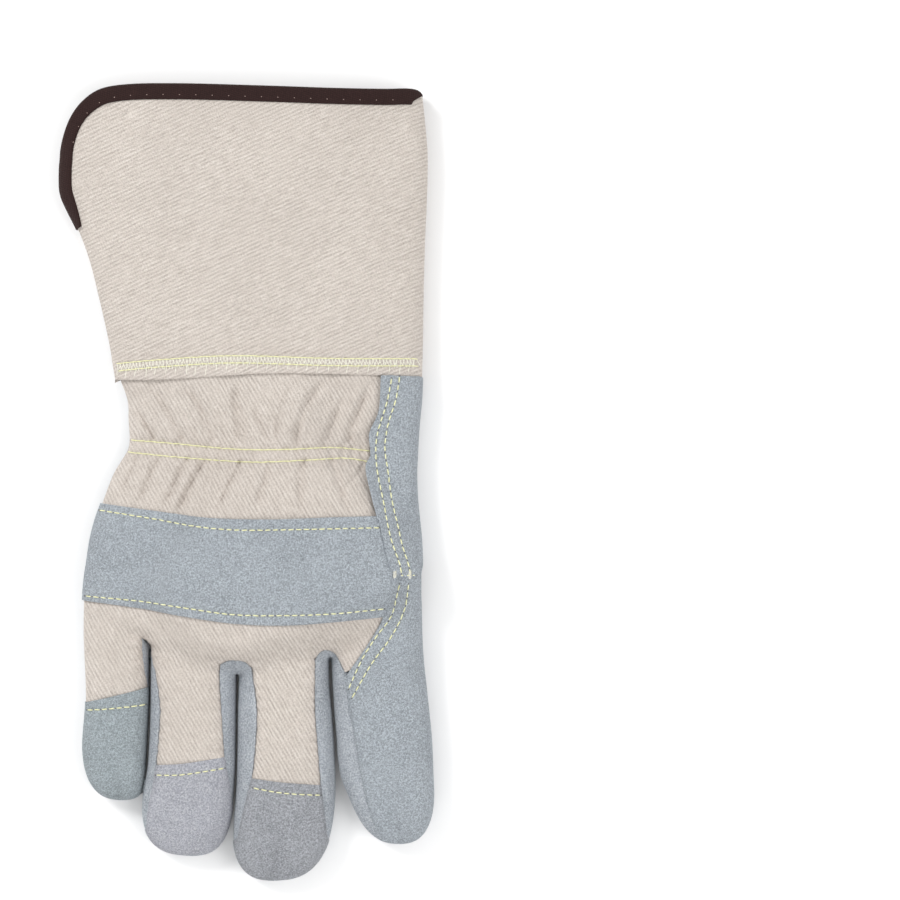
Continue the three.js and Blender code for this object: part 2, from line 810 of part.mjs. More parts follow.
addPiece('gauntlet_cuff', cuffWall, 'canvas');
addPiece('cuff_binding', binding, 'binding');
addPiece('canvas_back', canvasBack, 'canvas');
addPiece('knuckle_strap', strap, 'leather');
addPiece('fingertip_pinky', back.intersect(caps[0].region(-halfGap)).subtract(allWebs), 'pinkyLeather');
addPiece('fingertip_ring', back.intersect(caps[1].region(-halfGap)).subtract(allWebs), 'ringLeather');
addPiece('fingertip_middle', back.intersect(caps[2].region(-halfGap)).subtract(allWebs), 'middleLeather');
for (const web of webs) {
  addPiece(web.name, back.intersect(web.region(-halfGap)), 'leather');
}
addPiece('palm_leather', palm, 'leather');
addPiece('middle_ring_front', fingerFront, 'leather');
addPiece('finger_welt', welt, 'leather');
addPiece('thumb_front', thumbFront, 'leather');
addPiece('thumb_back', thumbBack, 'leather');
addPiece('pulse_patch', patch, 'leather');

// The origin is under the middle of the glove, on the floor
const box = new THREE.Box3().setFromObject(glove);
const middle = box.getCenter(new THREE.Vector3());
glove.position.set(-middle.x, -middle.y, -box.min.z);

export default glove;
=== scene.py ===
"""Looks of a right-hand leather gauntlet glove that lies on its palm.

Lengths are millimetres until a mesh is made. Places on the glove are read off
its photograph in pixels and turned to millimetres by PhotoFrame.
"""

import logging
import math
from dataclasses import dataclass, field
from enum import Enum
from typing import Callable, Sequence

import bpy
import numpy as np
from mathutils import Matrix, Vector
from mathutils.geometry import delaunay_2d_cdt


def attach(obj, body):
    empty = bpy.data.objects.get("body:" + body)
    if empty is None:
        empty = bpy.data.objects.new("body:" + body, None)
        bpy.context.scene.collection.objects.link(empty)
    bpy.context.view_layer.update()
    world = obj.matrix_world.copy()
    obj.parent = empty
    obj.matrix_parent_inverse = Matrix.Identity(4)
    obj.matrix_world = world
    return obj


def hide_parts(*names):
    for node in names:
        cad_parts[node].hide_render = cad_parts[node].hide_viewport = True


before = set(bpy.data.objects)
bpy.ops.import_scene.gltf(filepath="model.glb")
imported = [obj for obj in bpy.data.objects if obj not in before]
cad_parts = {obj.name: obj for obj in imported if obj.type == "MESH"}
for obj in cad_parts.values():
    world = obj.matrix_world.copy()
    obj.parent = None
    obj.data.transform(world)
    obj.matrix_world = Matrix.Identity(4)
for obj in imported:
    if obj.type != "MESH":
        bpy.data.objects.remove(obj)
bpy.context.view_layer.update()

LOG = logging.getLogger("glove")
METRE = 0.001
Points = np.ndarray
Surface = Callable[[Points], np.ndarray]
Colour = tuple[float, float, float, float]

WHITE = (1.0, 1.0, 1.0, 1.0)

# Thickness of the cut sheets in millimetres
LEATHER = 1.3
CANVAS = 1.1
THIN_LEATHER = 1.2
WEB_LEATHER = 0.9
WELT_LEATHER = 1.6

THREAD_RADIUS = 0.25
GRID = 1.35
FLOOR_GAP = 0.03

# Roundness of the flattened tubes, where 2 is an ellipse
ROUND = 2.6

# Millimetres that a resting tube's lower curve would pass the floor, where it lies flat
FLATTEN = 0.6

# Pixel rows of the photograph
FINGER_START = 596.0
FRONT_START = 600.0
FINGER_FULL = 640.0
FRONT_FULL = 650.0
ELASTIC_MIDDLE = 451.0


class Side(Enum):
    """Which face of the glove a panel lies on."""

    BACK = 1
    FRONT = -1


@dataclass(frozen=True)
class PhotoFrame:
    """Turns a place in the 900 pixel photograph into millimetres on the glove."""

    scale: float = 0.39
    centre_x: float = 245.5
    centre_y: float = 483.8

    def place(self, pixels: Sequence[Sequence[float]]) -> Points:
        """Return the millimetre places of a list of pixels."""
        px = np.asarray(pixels, dtype=float)
        return np.column_stack([(px[:, 0] - self.centre_x), (self.centre_y - px[:, 1])]) * self.scale

    def across(self, px: float) -> float:
        """Return the x of a pixel column in millimetres."""
        return (px - self.centre_x) * self.scale

    def along(self, py: float) -> float:
        """Return the y of a pixel row in millimetres."""
        return (self.centre_y - py) * self.scale


PHOTO = PhotoFrame()


def spline(points: Points, step: float = 1.0) -> Points:
    """Run a smooth curve through points.

    Args:
        points: Corner places, one row each.
        step: Spacing of the result in millimetres.

    Returns:
        Places on a Catmull-Rom curve at an even spacing.
    """
    p = np.asarray(points, dtype=float)
    if len(p) > 2:
        ext = np.vstack([2 * p[0] - p[1], p, 2 * p[-1] - p[-2]])
        t = np.linspace(0, 1, 24, endpoint=False)[:, None]
        parts = []
        for a, b, c, d in zip(ext, ext[1:], ext[2:], ext[3:]):
            parts.append(0.5 * (2 * b + (c - a) * t + (2 * a - 5 * b + 4 * c - d) * t ** 2
                                + (3 * b - a - 3 * c + d) * t ** 3))
        p = np.vstack(parts + [p[-1:]])
    return resample(p, step)


def resample(points: Points, step: float) -> Points:
    """Return a polyline's places at an even spacing, with both ends kept."""
    length = np.concatenate([[0], np.cumsum(np.linalg.norm(np.diff(points, axis=0), axis=1))])
    count = max(2, int(round(length[-1] / step)) + 1)
    at = np.linspace(0, length[-1], count)
    return np.column_stack([np.interp(at, length, points[:, k]) for k in range(points.shape[1])])


def distance_to(points: Points, line: Points) -> np.ndarray:
    """Return each point's distance to a polyline."""
    best = np.full(len(points), 1e9)
    for a, b in zip(line, line[1:]):
        run = b - a
        t = np.clip(((points - a) @ run) / max(run @ run, 1e-9), 0, 1)
        best = np.minimum(best, np.linalg.norm(points - (a + t[:, None] * run), axis=1))
    return best


def headings(line: Points) -> Points:
    """Return the unit direction of a line at each of its places."""
    run = np.gradient(line, axis=0)
    return run / np.linalg.norm(run, axis=1)[:, None]


def right_of(line: Points) -> Points:
    """Return the unit direction to the right of a line at each of its places."""
    run = headings(line)
    return np.column_stack([run[:, 1], -run[:, 0]])


def inside(points: Points, outline: Points) -> np.ndarray:
    """Return which points lie inside a closed outline."""
    x, y = points[:, 0], points[:, 1]
    result = np.zeros(len(points), dtype=bool)
    for (x0, y0), (x1, y1) in zip(outline, np.roll(outline, -1, axis=0)):
        if y0 == y1:
            continue
        crosses = (y0 > y) != (y1 > y)
        result ^= crosses & (x < (x1 - x0) * (y - y0) / (y1 - y0) + x0)
    return result


def ease(low: float, high: float, value: np.ndarray) -> np.ndarray:
    """Return a smooth step from 0 at low to 1 at high."""
    t = np.clip((value - low) / (high - low), 0, 1)
    return t * t * (3 - 2 * t)


def waves(points: Points, size: float, seed: int) -> np.ndarray:
    """Return soft unevenness between -1 and 1 with bumps of about one size."""
    rng = np.random.default_rng(seed)
    total = np.zeros(len(points))
    for _ in range(9):
        angle, phase = rng.uniform(0, math.tau, 2)
        stretch = rng.uniform(0.7, 1.5)
        run = points @ np.array([math.cos(angle), math.sin(angle)])
        total += np.sin(run * math.tau / (size * stretch) + phase)
    return total / 5


@dataclass
class Thumb:
    """The thumb's tube, folded in under the palm, and the lift that it gives the hand."""

    length: float = 95.0
    width: float = 55.0
    thickness: float = 12.0
    angle: float = 217.2
    root_x: float = 60.5
    root_y: float = 8.0
    mouth: float = 10.0
    margin: float = 4.0
    slope: float = 16.0
    edge_share: float = 0.42
    cap_start: float = 0.86
    alongs: tuple[float, ...] = (-0.08, 0.02, 0.15, 0.29, 0.44, 0.65, 0.82, 0.94, 1.0)
    widths: tuple[float, ...] = (1.62, 1.5, 1.3, 1.12, 1.03, 0.9, 0.66, 0.4, 0.0)

    def coordinates(self, points: Points) -> tuple[np.ndarray, np.ndarray]:
        """Return the distances along and across the thumb's axis."""
        d = np.array([math.cos(math.radians(self.angle)), math.sin(math.radians(self.angle))])
        rel = points - np.array([self.root_x, self.root_y])
        return rel @ d, rel[:, 0] * d[1] - rel[:, 1] * d[0]

    def to_plan(self, along: float, across: float) -> tuple[float, float]:
        """Return the plan place of a distance along and across the axis."""
        dx, dy = math.cos(math.radians(self.angle)), math.sin(math.radians(self.angle))
        return (self.root_x + along * dx + across * dy, self.root_y + along * dy - across * dx)

    def half_width(self, along: np.ndarray) -> np.ndarray:
        """Return half the thumb's width at places along it."""
        return self.width / 2 * np.interp(along / self.length, self.alongs, self.widths)

    def lift(self, points: Points) -> np.ndarray:
        """Return how far the palm is held off the floor by the thumb."""
        along, across = self.coordinates(points)
        cap = self.length * self.cap_start
        beside = np.abs(across) - self.half_width(along)
        beyond = np.hypot(along - cap, across) - self.half_width(np.array([cap]))[0]
        outside = np.where(along > cap, beyond, beside)
        fall = 1 - ease(self.margin, self.margin + self.slope, outside)
        mouth = ease(self.mouth - 2, self.mouth - 2 + self.slope, along)
        return (self.thickness + FLATTEN) * fall * mouth

    def outline(self) -> Points:
        """Return the thumb's free outline from its upper root round the tip."""
        table = np.column_stack([np.array(self.alongs) * self.length,
                                 np.array(self.widths) * self.width / 2])
        table[-2, 0] -= 1.5
        curve = spline(table[1:], 2.0)
        upper = [self.to_plan(a, max(w, 0)) for a, w in curve]
        lower = [self.to_plan(a, -max(w, 0)) for a, w in curve[:-1]]
        return np.array(upper + lower[::-1])

    def surface(self, side: Side) -> Surface:
        """Return the height of the thumb's upper or lower face."""
        def height(points: Points) -> np.ndarray:
            along, across = self.coordinates(points)
            half = np.maximum(self.half_width(along), 0.5)
            reach = np.clip((along / self.length - 0.8) / 0.2, 0, 1)
            room = np.maximum(1 - np.abs(across / half) ** ROUND - 0.6 * reach ** 3, 0)
            swell = room ** (1 / ROUND)
            edge = self.thickness * self.edge_share
            if side is Side.BACK:
                return edge + (self.thickness - edge) * swell
            return np.maximum(edge - (edge + FLATTEN) * swell, 0)
        return height


THUMB = Thumb()


@dataclass
class Tube:
    """A flattened tube of cloth or leather that runs along Y.

    Attributes:
        rows: Pixel row, left edge, right edge and height in millimetres.
        left_cap: Pixel row where the left edge starts to close towards the tip.
        right_cap: The same for the right edge.
        tip: Pixel place of the tip, or None for an open tube.
    """

    rows: tuple[tuple[float, float, float, float], ...]
    left_cap: float = 0.0
    right_cap: float = 0.0
    tip: tuple[float, float] | None = None
    edge_share: float = 0.38
    _table: np.ndarray = field(init=False)

    def __post_init__(self) -> None:
        """Turn the rows into a fine table in millimetres, with y growing."""
        rows = np.array(self.rows)
        mm = np.column_stack([PHOTO.along(rows[:, 0]), PHOTO.across(rows[:, 1]),
                              PHOTO.across(rows[:, 2]), rows[:, 3]])
        fine = spline(mm, 1.5)
        self._table = fine[np.argsort(fine[:, 0])]

    def column(self, y: np.ndarray, index: int) -> np.ndarray:
        """Return a column of the table at given y."""
        return np.interp(y, self._table[:, 0], self._table[:, index])

    def cap_share(self, y: np.ndarray, start: float) -> np.ndarray:
        """Return how far y has gone from a cap's start to the tip, from 0 to 1."""
        if self.tip is None:
            return np.zeros_like(y)
        begin, end = PHOTO.along(start), PHOTO.along(self.tip[1])
        return np.clip((begin - y) / (begin - end), 0, 1)

    def edge(self, y: np.ndarray, side: int) -> np.ndarray:
        """Return the x of the left edge, side -1, or of the right edge, side 1."""
        full = self.column(y, 1 if side < 0 else 2)
        if self.tip is None:
            return full
        share = self.cap_share(y, self.left_cap if side < 0 else self.right_cap)
        centre = PHOTO.across(self.tip[0])
        closing = np.maximum(1 - share ** ROUND, 0) ** (1 / ROUND)
        return np.where(share > 0, centre + (full - centre) * closing, full)

    def swell(self, points: Points) -> np.ndarray:
        """Return the roundness, 0 at the edges and up to 1 in the middle."""
        x, y = points[:, 0], points[:, 1]
        left, right = self.column(y, 1), self.column(y, 2)
        if self.tip is None:
            centre = (left + right) / 2
            share = np.zeros_like(y)
        else:
            blend = np.maximum(self.cap_share(y, self.left_cap), self.cap_share(y, self.right_cap))
            centre = (left + right) / 2 * (1 - blend) + PHOTO.across(self.tip[0]) * blend
            share = np.where(x < centre, self.cap_share(y, self.left_cap),
                             self.cap_share(y, self.right_cap))
        half = np.where(x < centre, centre - left, right - centre)
        room = 1 - np.abs((x - centre) / half) ** ROUND - share ** ROUND
        return np.maximum(room, 0) ** (1 / ROUND)

    def top(self, points: Points) -> np.ndarray:
        """Return the height of the upper face."""
        high = self.column(points[:, 1], 3)
        edge = high * self.edge_share
        return edge + (high - edge) * self.swell(points)

    def bottom(self, points: Points) -> np.ndarray:
        """Return the height of the lower face, flat where it rests."""
        high = self.column(points[:, 1], 3)
        edge = high * self.edge_share
        return np.maximum(edge - (edge + FLATTEN) * self.swell(points), 0)

    def silhouette(self, side: int, start: float, end: float, step: float = 1.5) -> Points:
        """Return an edge as places from one pixel row to another."""
        y0, y1 = PHOTO.along(start), PHOTO.along(end)
        turn = np.linspace(0, 1, 160)
        y = y0 + (y1 - y0) * (np.sin(turn * math.pi / 2) if self.tip is not None else turn)
        return resample(np.column_stack([self.edge(y, side), y]), step)


CUFF = Tube(rows=(
    (60, 62, 421, 20.0), (84, 61.5, 421.5, 20.0), (120, 61, 425, 20.0), (150, 60, 427.5, 19.8),
    (180, 59, 427.5, 19.5), (195, 60.5, 427, 19.3), (210, 67, 426.5, 19), (230, 77, 425.5, 19),
    (260, 88, 424.5, 19), (300, 98, 423.5, 19.2), (340, 107, 423, 19.6), (360, 110.5, 422.5, 19.8),
    (380, 114, 422, 19.8)))

HAND = Tube(rows=(
    (350, 114, 421.5, 19.3), (376, 118, 421, 19.3), (400, 126, 420, 18.6), (420, 127, 418, 18),
    (440, 128, 416.5, 17), (450, 126, 416, 16.8), (462, 119, 415.5, 17.6), (475, 111.5, 415, 18.6),
    (500, 102, 416, 20), (520, 95, 418, 21), (540, 90, 420, 21.5), (560, 87, 421, 21.6),
    (580, 84, 421.5, 21.4), (600, 82.5, 421.5, 20.8), (640, 82, 423, 19.5), (680, 83, 425, 18)))

FINGERS = {
    "pinky": Tube(rows=((590, 82, 147, 16), (640, 82, 147.5, 15.6), (700, 84, 147, 15.2),
                        (745, 81, 144.5, 15), (805, 81, 141.5, 13)),
                  left_cap=736, right_cap=782, tip=(121, 802)),
    "ring": Tube(rows=((590, 149.5, 236, 18), (640, 149.5, 236, 17.6), (709, 149, 235, 17),
                       (764, 146.5, 234.5, 17), (800, 141, 232.5, 16.5), (860, 139.5, 232, 14)),
                 left_cap=803, right_cap=785, tip=(191, 858)),
    "middle": Tube(rows=((590, 238, 330, 18.6), (674, 238, 328.5, 18), (709, 237, 331, 17.6),
                         (745, 236.5, 333.5, 17.5), (784, 235.5, 335, 17.2), (830, 232.5, 334, 16.4),
                         (885, 232.5, 333, 14)),
                   left_cap=830, right_cap=790, tip=(272, 883)),
    "index": Tube(rows=((590, 334, 421.5, 19), (650, 331, 423, 18), (700, 333, 428, 17.5),
                        (740, 336, 432, 17.3), (775, 338.5, 433.5, 17.2), (805, 345, 434.5, 16.8),
                        (848, 350, 434, 14)),
                  left_cap=742, right_cap=788, tip=(400, 846)),
}

# The ends of the hand's tube between the fingers, in pixels
WEB_LINE = ((70, 640), (100, 644), (143, 647), (165, 662), (192, 672), (237, 676), (285, 672),
            (327, 661), (370, 655), (440, 655))
WEB_CURVE = spline(PHOTO.place(WEB_LINE), 1.5)

# Millimetres in which that tube closes, the height left past it, and how deep fingers start
WEB_CLOSING = 15.0
WEB_HEIGHT = 6.0
ROOT_DROP = 3.0

# Share of the thumb's lift that reaches the back
THUMB_SHOWS = 0.62


def soft_max(first: np.ndarray, second: np.ndarray, blend: float = 2.4) -> np.ndarray:
    """Return the larger of two heights, rounded where they cross."""
    mix = np.clip(0.5 + 0.5 * (first - second) / blend, 0, 1)
    return second * (1 - mix) + first * mix + blend * mix * (1 - mix)


def hand_share(points: Points) -> np.ndarray:
    """Return how far the hand's tube has closed towards the webs."""
    end = np.interp(points[:, 0], WEB_CURVE[:, 0], WEB_CURVE[:, 1])
    return np.clip(1 - (points[:, 1] - end) / WEB_CLOSING, 0, 1)


def finger_mask(tube: Tube, points: Points) -> np.ndarray:
    """Return which points lie within a finger's edges."""
    x, y = points[:, 0], points[:, 1]
    margin = 0.2
    within = (x > tube.edge(y, -1) - margin) & (x < tube.edge(y, 1) + margin)
    return within & (y < PHOTO.along(FINGER_START))


def back_height(points: Points) -> np.ndarray:
    """Return the height of the glove's back, from the cuff seam to the fingertips."""
    high = HAND.column(points[:, 1], 3)
    edge = high * HAND.edge_share
    closed = hand_share(points)
    room = np.maximum(HAND.swell(points) ** ROUND - closed ** ROUND, 0)
    result = np.where(closed >= 1, WEB_HEIGHT, edge + (high - edge) * room ** (1 / ROUND))
    near = ease(PHOTO.along(FINGER_START), PHOTO.along(FINGER_FULL), points[:, 1])
    for tube in FINGERS.values():
        own = tube.top(points) - ROOT_DROP * (1 - near)
        result = np.where(finger_mask(tube, points), soft_max(result, own), result)
    return result + THUMB_SHOWS * THUMB.lift(points)


def grown(points: Points, grow: float) -> Points:
    """Return places drawn in towards each tube's middle.

    A height read at these places belongs to a layer that lies outside the tube
    by the distance grow, also down its steep sides.
    """
    x, y = points[:, 0], points[:, 1]

    def drawn_in(tube: Tube) -> tuple[np.ndarray, np.ndarray]:
        """Return x moved towards a tube's middle, and which points lie over the tube."""
        left, right = tube.edge(y, -1), tube.edge(y, 1)
        middle, half = (left + right) / 2, (right - left) / 2
        inward = x - grow * np.clip((x - middle) / (half + grow), -1, 1)
        return inward, np.abs(x - middle) < half + grow

    moved = points.copy()
    moved[:, 0] = drawn_in(HAND)[0]
    fingers = y < PHOTO.along(FINGER_FULL)
    for tube in FINGERS.values():
        inward, over = drawn_in(tube)
        moved[:, 0] = np.where(over & fingers, inward, moved[:, 0])
    return moved


def front_height(points: Points) -> np.ndarray:
    """Return the height of the palm side, flat where it rests."""
    result = HAND.bottom(points)
    below = points[:, 1] < PHOTO.along(FRONT_START)
    share = ease(PHOTO.along(FRONT_START), PHOTO.along(FRONT_FULL), points[:, 1])
    for tube in FINGERS.values():
        blend = (1 - share) * result + share * tube.bottom(points)
        result = np.where(finger_mask(tube, points) & below, blend, result)
    return result + THUMB.lift(points)


@dataclass(frozen=True)
class Fold:
    """A valley that the elastic pulls into the cloth.

    Attributes:
        line: Pixels along the valley.
        depth: How deep it is beside other folds.
        width: Half its width in millimetres.
        strength: Millimetres of height for a depth of 1.
        slant: Share of a step along X that counts across the leaning valley.
    """

    line: tuple[tuple[float, float], ...]
    depth: float
    width: float = 1.1
    strength: float = 1.4
    slant: float = 0.93

    def height(self, points: Points) -> np.ndarray:
        """Return the fold's valley and the soft ridge beside it."""
        curve = spline(PHOTO.place(self.line), 2.0)
        curve = curve[np.argsort(curve[:, 1])]
        x, y = points[:, 0], points[:, 1]
        away = (x - np.interp(y, curve[:, 1], curve[:, 0])) * self.slant
        low, high = curve[0, 1], curve[-1, 1]
        below = high < PHOTO.along(ELASTIC_MIDDLE) + 2
        far = y - low if below else high - y
        near = high - y if below else y - low
        taper = ease(-1.0, 9.0, far) * ease(-2.0, 0.5, near)
        valley = np.exp(-np.abs(away / self.width) ** 1.3)
        left = np.exp(-((away + 2.3 * self.width) / (1.5 * self.width)) ** 2)
        right = np.exp(-((away - 2.6 * self.width) / (1.9 * self.width)) ** 2)
        return self.strength * self.depth * taper * (0.5 * left + 0.3 * right - valley)


GATHER_FOLDS = (
    Fold(((117, 388), (138, 413), (153, 438)), 1.15),
    Fold(((148, 379), (167, 410), (183, 440)), 1.1),
    Fold(((180, 378), (203, 412), (214, 441)), 1.05),
    Fold(((243, 374), (235, 400), (240, 414), (243, 440)), 1.25, 1.3),
    Fold(((252, 398), (263, 426), (274, 443)), 0.95),
    Fold(((330, 373), (309, 401), (300, 426), (297, 444)), 1.15, 1.4),
    Fold(((289, 378), (281, 414), (279, 444)), 0.9),
    Fold(((373, 378), (354, 422), (348, 441)), 1.1),
    Fold(((347, 390), (330, 428), (324, 445)), 0.95),
    Fold(((159, 457), (149, 478), (135, 512)), 1.1),
    Fold(((187, 459), (175, 484), (162, 516)), 1.1),
    Fold(((205, 461), (194, 480), (175, 520)), 1.1),
    Fold(((241, 462), (232, 482), (214, 521)), 1.15),
    Fold(((270, 463), (266, 480), (255, 518)), 0.9),
    Fold(((306, 461), (302, 482), (305, 521)), 1.2, 1.3),
    Fold(((333, 460), (339, 480), (352, 518)), 0.95),
    Fold(((357, 461), (364, 480), (369, 502)), 0.6),
    Fold(((137, 455), (131, 470), (116, 504)), 0.95),
)


def small_folds(count: int = 46, seed: int = 5) -> tuple[Fold, ...]:
    """Return short creases that fan out above and below the elastic rows."""
    rng = np.random.default_rng(seed)
    first, last = 134, 370
    made = []
    for k in range(count):
        x = first + (last - first) * (k + rng.uniform(-0.3, 0.3)) / count
        above = k % 2 == 0
        start = 438 if above else 463
        reach = rng.uniform(12, 38) * (-1 if above else 1)
        lean = (x - 250) * (0.10 if above else -0.13) + rng.normal(0, 5) - (4 if above else 6)
        line = ((x, start), (x + lean * 0.4, start + reach * 0.5), (x + lean, start + reach))
        made.append(Fold(line, rng.uniform(0.26, 0.6), rng.uniform(0.75, 1.0)))
    return tuple(made)


SMALL_FOLDS = small_folds()

ELASTIC_ROWS = (
    ((130, 440), (169, 443), (234, 449), (284, 449.5), (334, 447.5), (371, 451)),
    ((127, 452), (172, 456.5), (222, 460.5), (259, 462), (309, 460), (346, 458), (370, 462)),
)


def pucker(points: Points) -> np.ndarray:
    """Return the small puckers that the two elastic rows pull in."""
    total = np.zeros(len(points))
    for row in ELASTIC_ROWS:
        away = distance_to(points, spline(PHOTO.place(row), 3.0))
        ripple = np.sin(points[:, 0] * math.tau / 4.3 + 0.9 * np.sin(points[:, 0] * 0.31))
        total += 0.33 * ripple * np.exp(-(away / 3.0) ** 2) - 0.5 * np.exp(-(away / 1.3) ** 2)
    return total


class Frame2D:
    """Helpers that turn outlines in plan into shaped sheets."""

    @staticmethod
    def fill(outline: Points, rings: Sequence[float], grid: float,
             extra: Points | None = None) -> tuple[Points, list[tuple[int, ...]]]:
        """Fill an outline with a fine triangle mesh.

        Args:
            outline: Closed outline, without its first place repeated.
            rings: Distances inside the outline at which rows of places are added.
            grid: Spacing of the places inside.
            extra: More places to put in the mesh.

        Returns:
            The places, with the outline first, and the triangles.
        """
        following = np.roll(outline, -1, axis=0) - outline
        normal = np.column_stack([-following[:, 1], following[:, 0]])
        normal += np.roll(normal, 1, axis=0)
        normal /= np.maximum(np.linalg.norm(normal, axis=1), 1e-9)[:, None]
        if Frame2D.area(outline) < 0:
            normal = -normal
        closed = np.vstack([outline, outline[:1]])
        inner = []
        for ring in rings:
            moved = outline + normal * ring
            keep = inside(moved, outline) & (distance_to(moved, closed) > ring * 0.93)
            inner.append(moved[keep])
        low, high = outline.min(axis=0), outline.max(axis=0)
        xs = np.arange(low[0], high[0], grid)
        ys = np.arange(low[1], high[1], grid * 0.866)
        gx, gy = np.meshgrid(xs, ys)
        gx = gx + (np.arange(len(ys)) % 2)[:, None] * grid / 2
        inner.append(np.column_stack([gx.ravel(), gy.ravel()]))
        border = (rings[-1] if len(rings) else 0) + grid * 0.45
        inner[-1] = inner[-1][inside(inner[-1], outline)]
        inner[-1] = inner[-1][distance_to(inner[-1], closed) > border]
        if extra is not None:
            extra = extra[inside(extra, outline)]
            extra = extra[distance_to(extra, closed) > 0.4]
            inner.append(extra)
        places = np.vstack([outline] + inner)
        count = len(outline)
        edges = [(i, (i + 1) % count) for i in range(count)]
        made = delaunay_2d_cdt([Vector(p) for p in places], edges, [], 0, 1e-5)
        verts = np.array([tuple(v) for v in made[0]])
        middle = np.array([verts[list(f)].mean(axis=0) for f in made[2]])
        within = inside(middle, outline)
        faces = [tuple(f) for f, keep in zip(made[2], within) if keep]
        return verts, faces

    @staticmethod
    def area(outline: Points) -> float:
        """Return the signed area of an outline, above 0 if it runs anticlockwise."""
        x, y = outline[:, 0], outline[:, 1]
        return float(0.5 * np.sum(x * np.roll(y, -1) - np.roll(x, -1) * y))


@dataclass
class MeshParts:
    """Vertices and faces in millimetres that grow into one mesh."""

    verts: list[Points] = field(default_factory=list)
    faces: list[tuple[int, ...]] = field(default_factory=list)
    count: int = 0

    def add(self, verts: Points, faces: Sequence[Sequence[int]], flip: bool = False) -> None:
        """Add a shape, with its faces turned round if flip is set."""
        for face in faces:
            corners = tuple(int(i) + self.count for i in face)
            self.faces.append(corners[::-1] if flip else corners)
        self.verts.append(np.asarray(verts, dtype=float))
        self.count += len(verts)

    def build(self, name: str) -> bpy.types.Object:
        """Make the object, with its place in its mesh."""
        mesh = bpy.data.meshes.new(name)
        mesh.from_pydata((np.vstack(self.verts) * METRE).tolist(), [], self.faces)
        mesh.update()
        thing = bpy.data.objects.new(name, mesh)
        bpy.context.scene.collection.objects.link(thing)
        return thing


def select_only(thing: bpy.types.Object) -> None:
    """Select one object and make it active."""
    bpy.ops.object.select_all(action="DESELECT")
    thing.select_set(True)
    bpy.context.view_layer.objects.active = thing


def thicken(thing: bpy.types.Object, wall: float, weld: bool = False) -> None:
    """Give a sheet its thickness on the inner side and smooth its shading.

    Args:
        thing: Sheet whose faces point out of the glove.
        wall: Thickness in millimetres.
        weld: Whether doubled edges are merged first.
    """
    select_only(thing)
    if weld:
        bpy.ops.object.mode_set(mode="EDIT")
        bpy.ops.mesh.select_all(action="SELECT")
        bpy.ops.mesh.remove_doubles(threshold=0.00002)
        bpy.ops.object.mode_set(mode="OBJECT")
    shell = thing.modifiers.new("wall", "SOLIDIFY")
    shell.thickness = wall * METRE
    shell.offset = -1
    shell.use_even_offset = False
    bpy.ops.object.modifier_apply(modifier="wall")
    bpy.ops.object.shade_smooth_by_angle(angle=math.radians(55))


@dataclass
class Panel:
    """A sheet of cloth or leather over an outline in plan.

    Attributes:
        outline: Closed outline in millimetres.
        height: Surface that the sheet follows.
        side: Which face of the glove it lies on.
        seam_lines: Seams where the sheet dips into a groove.
        raise_by: How far the sheet stands over the surface.
        groove: Depth of a seam's groove.
        groove_width: Half the width of that groove.
        free_lines: Cut edges, which are rounded off a little.
        rims: Silhouette lines towards which the rise fades out.
        closes: Silhouette lines where the sheet meets the other face, with that face's surface.
        rows: Lines of stitches, which press the sheet in.
        rings: Distances inside the outline at which the mesh has rows of places.
        grid: Spacing of the mesh.
    """

    RIM_FADE = 1.8
    CLOSING = 4.0
    CUT_EDGE = (0.35, 0.8)
    PRESSED_ROW = (0.28, 0.75)
    ROW_REACH = 0.85

    outline: Points
    height: Surface
    side: Side
    seam_lines: tuple[Points, ...] = ()
    raise_by: float = 0.0
    groove: float = 0.9
    groove_width: float = 1.5
    free_lines: tuple[Points, ...] = ()
    rims: tuple[Points, ...] = ()
    closes: tuple[tuple[Points, Surface], ...] = ()
    rows: tuple[Points, ...] = ()
    rings: tuple[float, ...] = (0.15, 0.45, 0.9, 1.5)
    grid: float = GRID

    def shape(self, points: Points) -> np.ndarray:
        """Return the sheet's height with its seams, edges and stitch rows pressed in."""
        up = self.side.value
        lift = np.full(len(points), float(self.raise_by))
        for rim in self.rims:
            lift *= ease(-0.2, self.RIM_FADE, distance_to(points, rim))
        z = self.height(points) + up * lift
        for rim, other in self.closes:
            gap = other(rim) - self.height(rim)
            away = np.linalg.norm(points[:, None] - rim[None], axis=2)
            z += gap[away.argmin(axis=1)] * (1 - ease(0.0, self.CLOSING, away.min(axis=1)))
        for line in self.seam_lines:
            near = np.clip(1 - distance_to(points, line) / self.groove_width, 0, 1)
            z -= up * self.groove * near ** 2
        depth, width = self.CUT_EDGE
        for line in self.free_lines:
            near = np.clip(1 - distance_to(points, line) / width, 0, 1)
            z -= up * depth * near ** 2
        depth, width = self.PRESSED_ROW
        for row in self.rows:
            z -= up * depth * np.exp(-(distance_to(points, row) / width) ** 2)
        return z if self.side is Side.BACK else np.maximum(z, FLOOR_GAP)

    def row_places(self) -> Points | None:
        """Return extra mesh places along the stitch rows."""
        places = []
        for row in self.rows:
            fine = resample(row, 1.1)
            step = right_of(fine) * self.ROW_REACH
            places += [fine, fine - step, fine + step]
        return np.vstack(places) if places else None

    def add_to(self, parts: MeshParts) -> None:
        """Add the sheet to a mesh, facing out of the glove."""
        places, faces = Frame2D.fill(self.outline, self.rings, self.grid, self.row_places())
        z = self.shape(places)
        verts = np.column_stack([places, z])
        a, b, c = (places[faces[0][k]] for k in range(3))
        upwards = (b[0] - a[0]) * (c[1] - a[1]) - (b[1] - a[1]) * (c[0] - a[0]) > 0
        parts.add(verts, faces, flip=upwards != (self.side is Side.BACK))


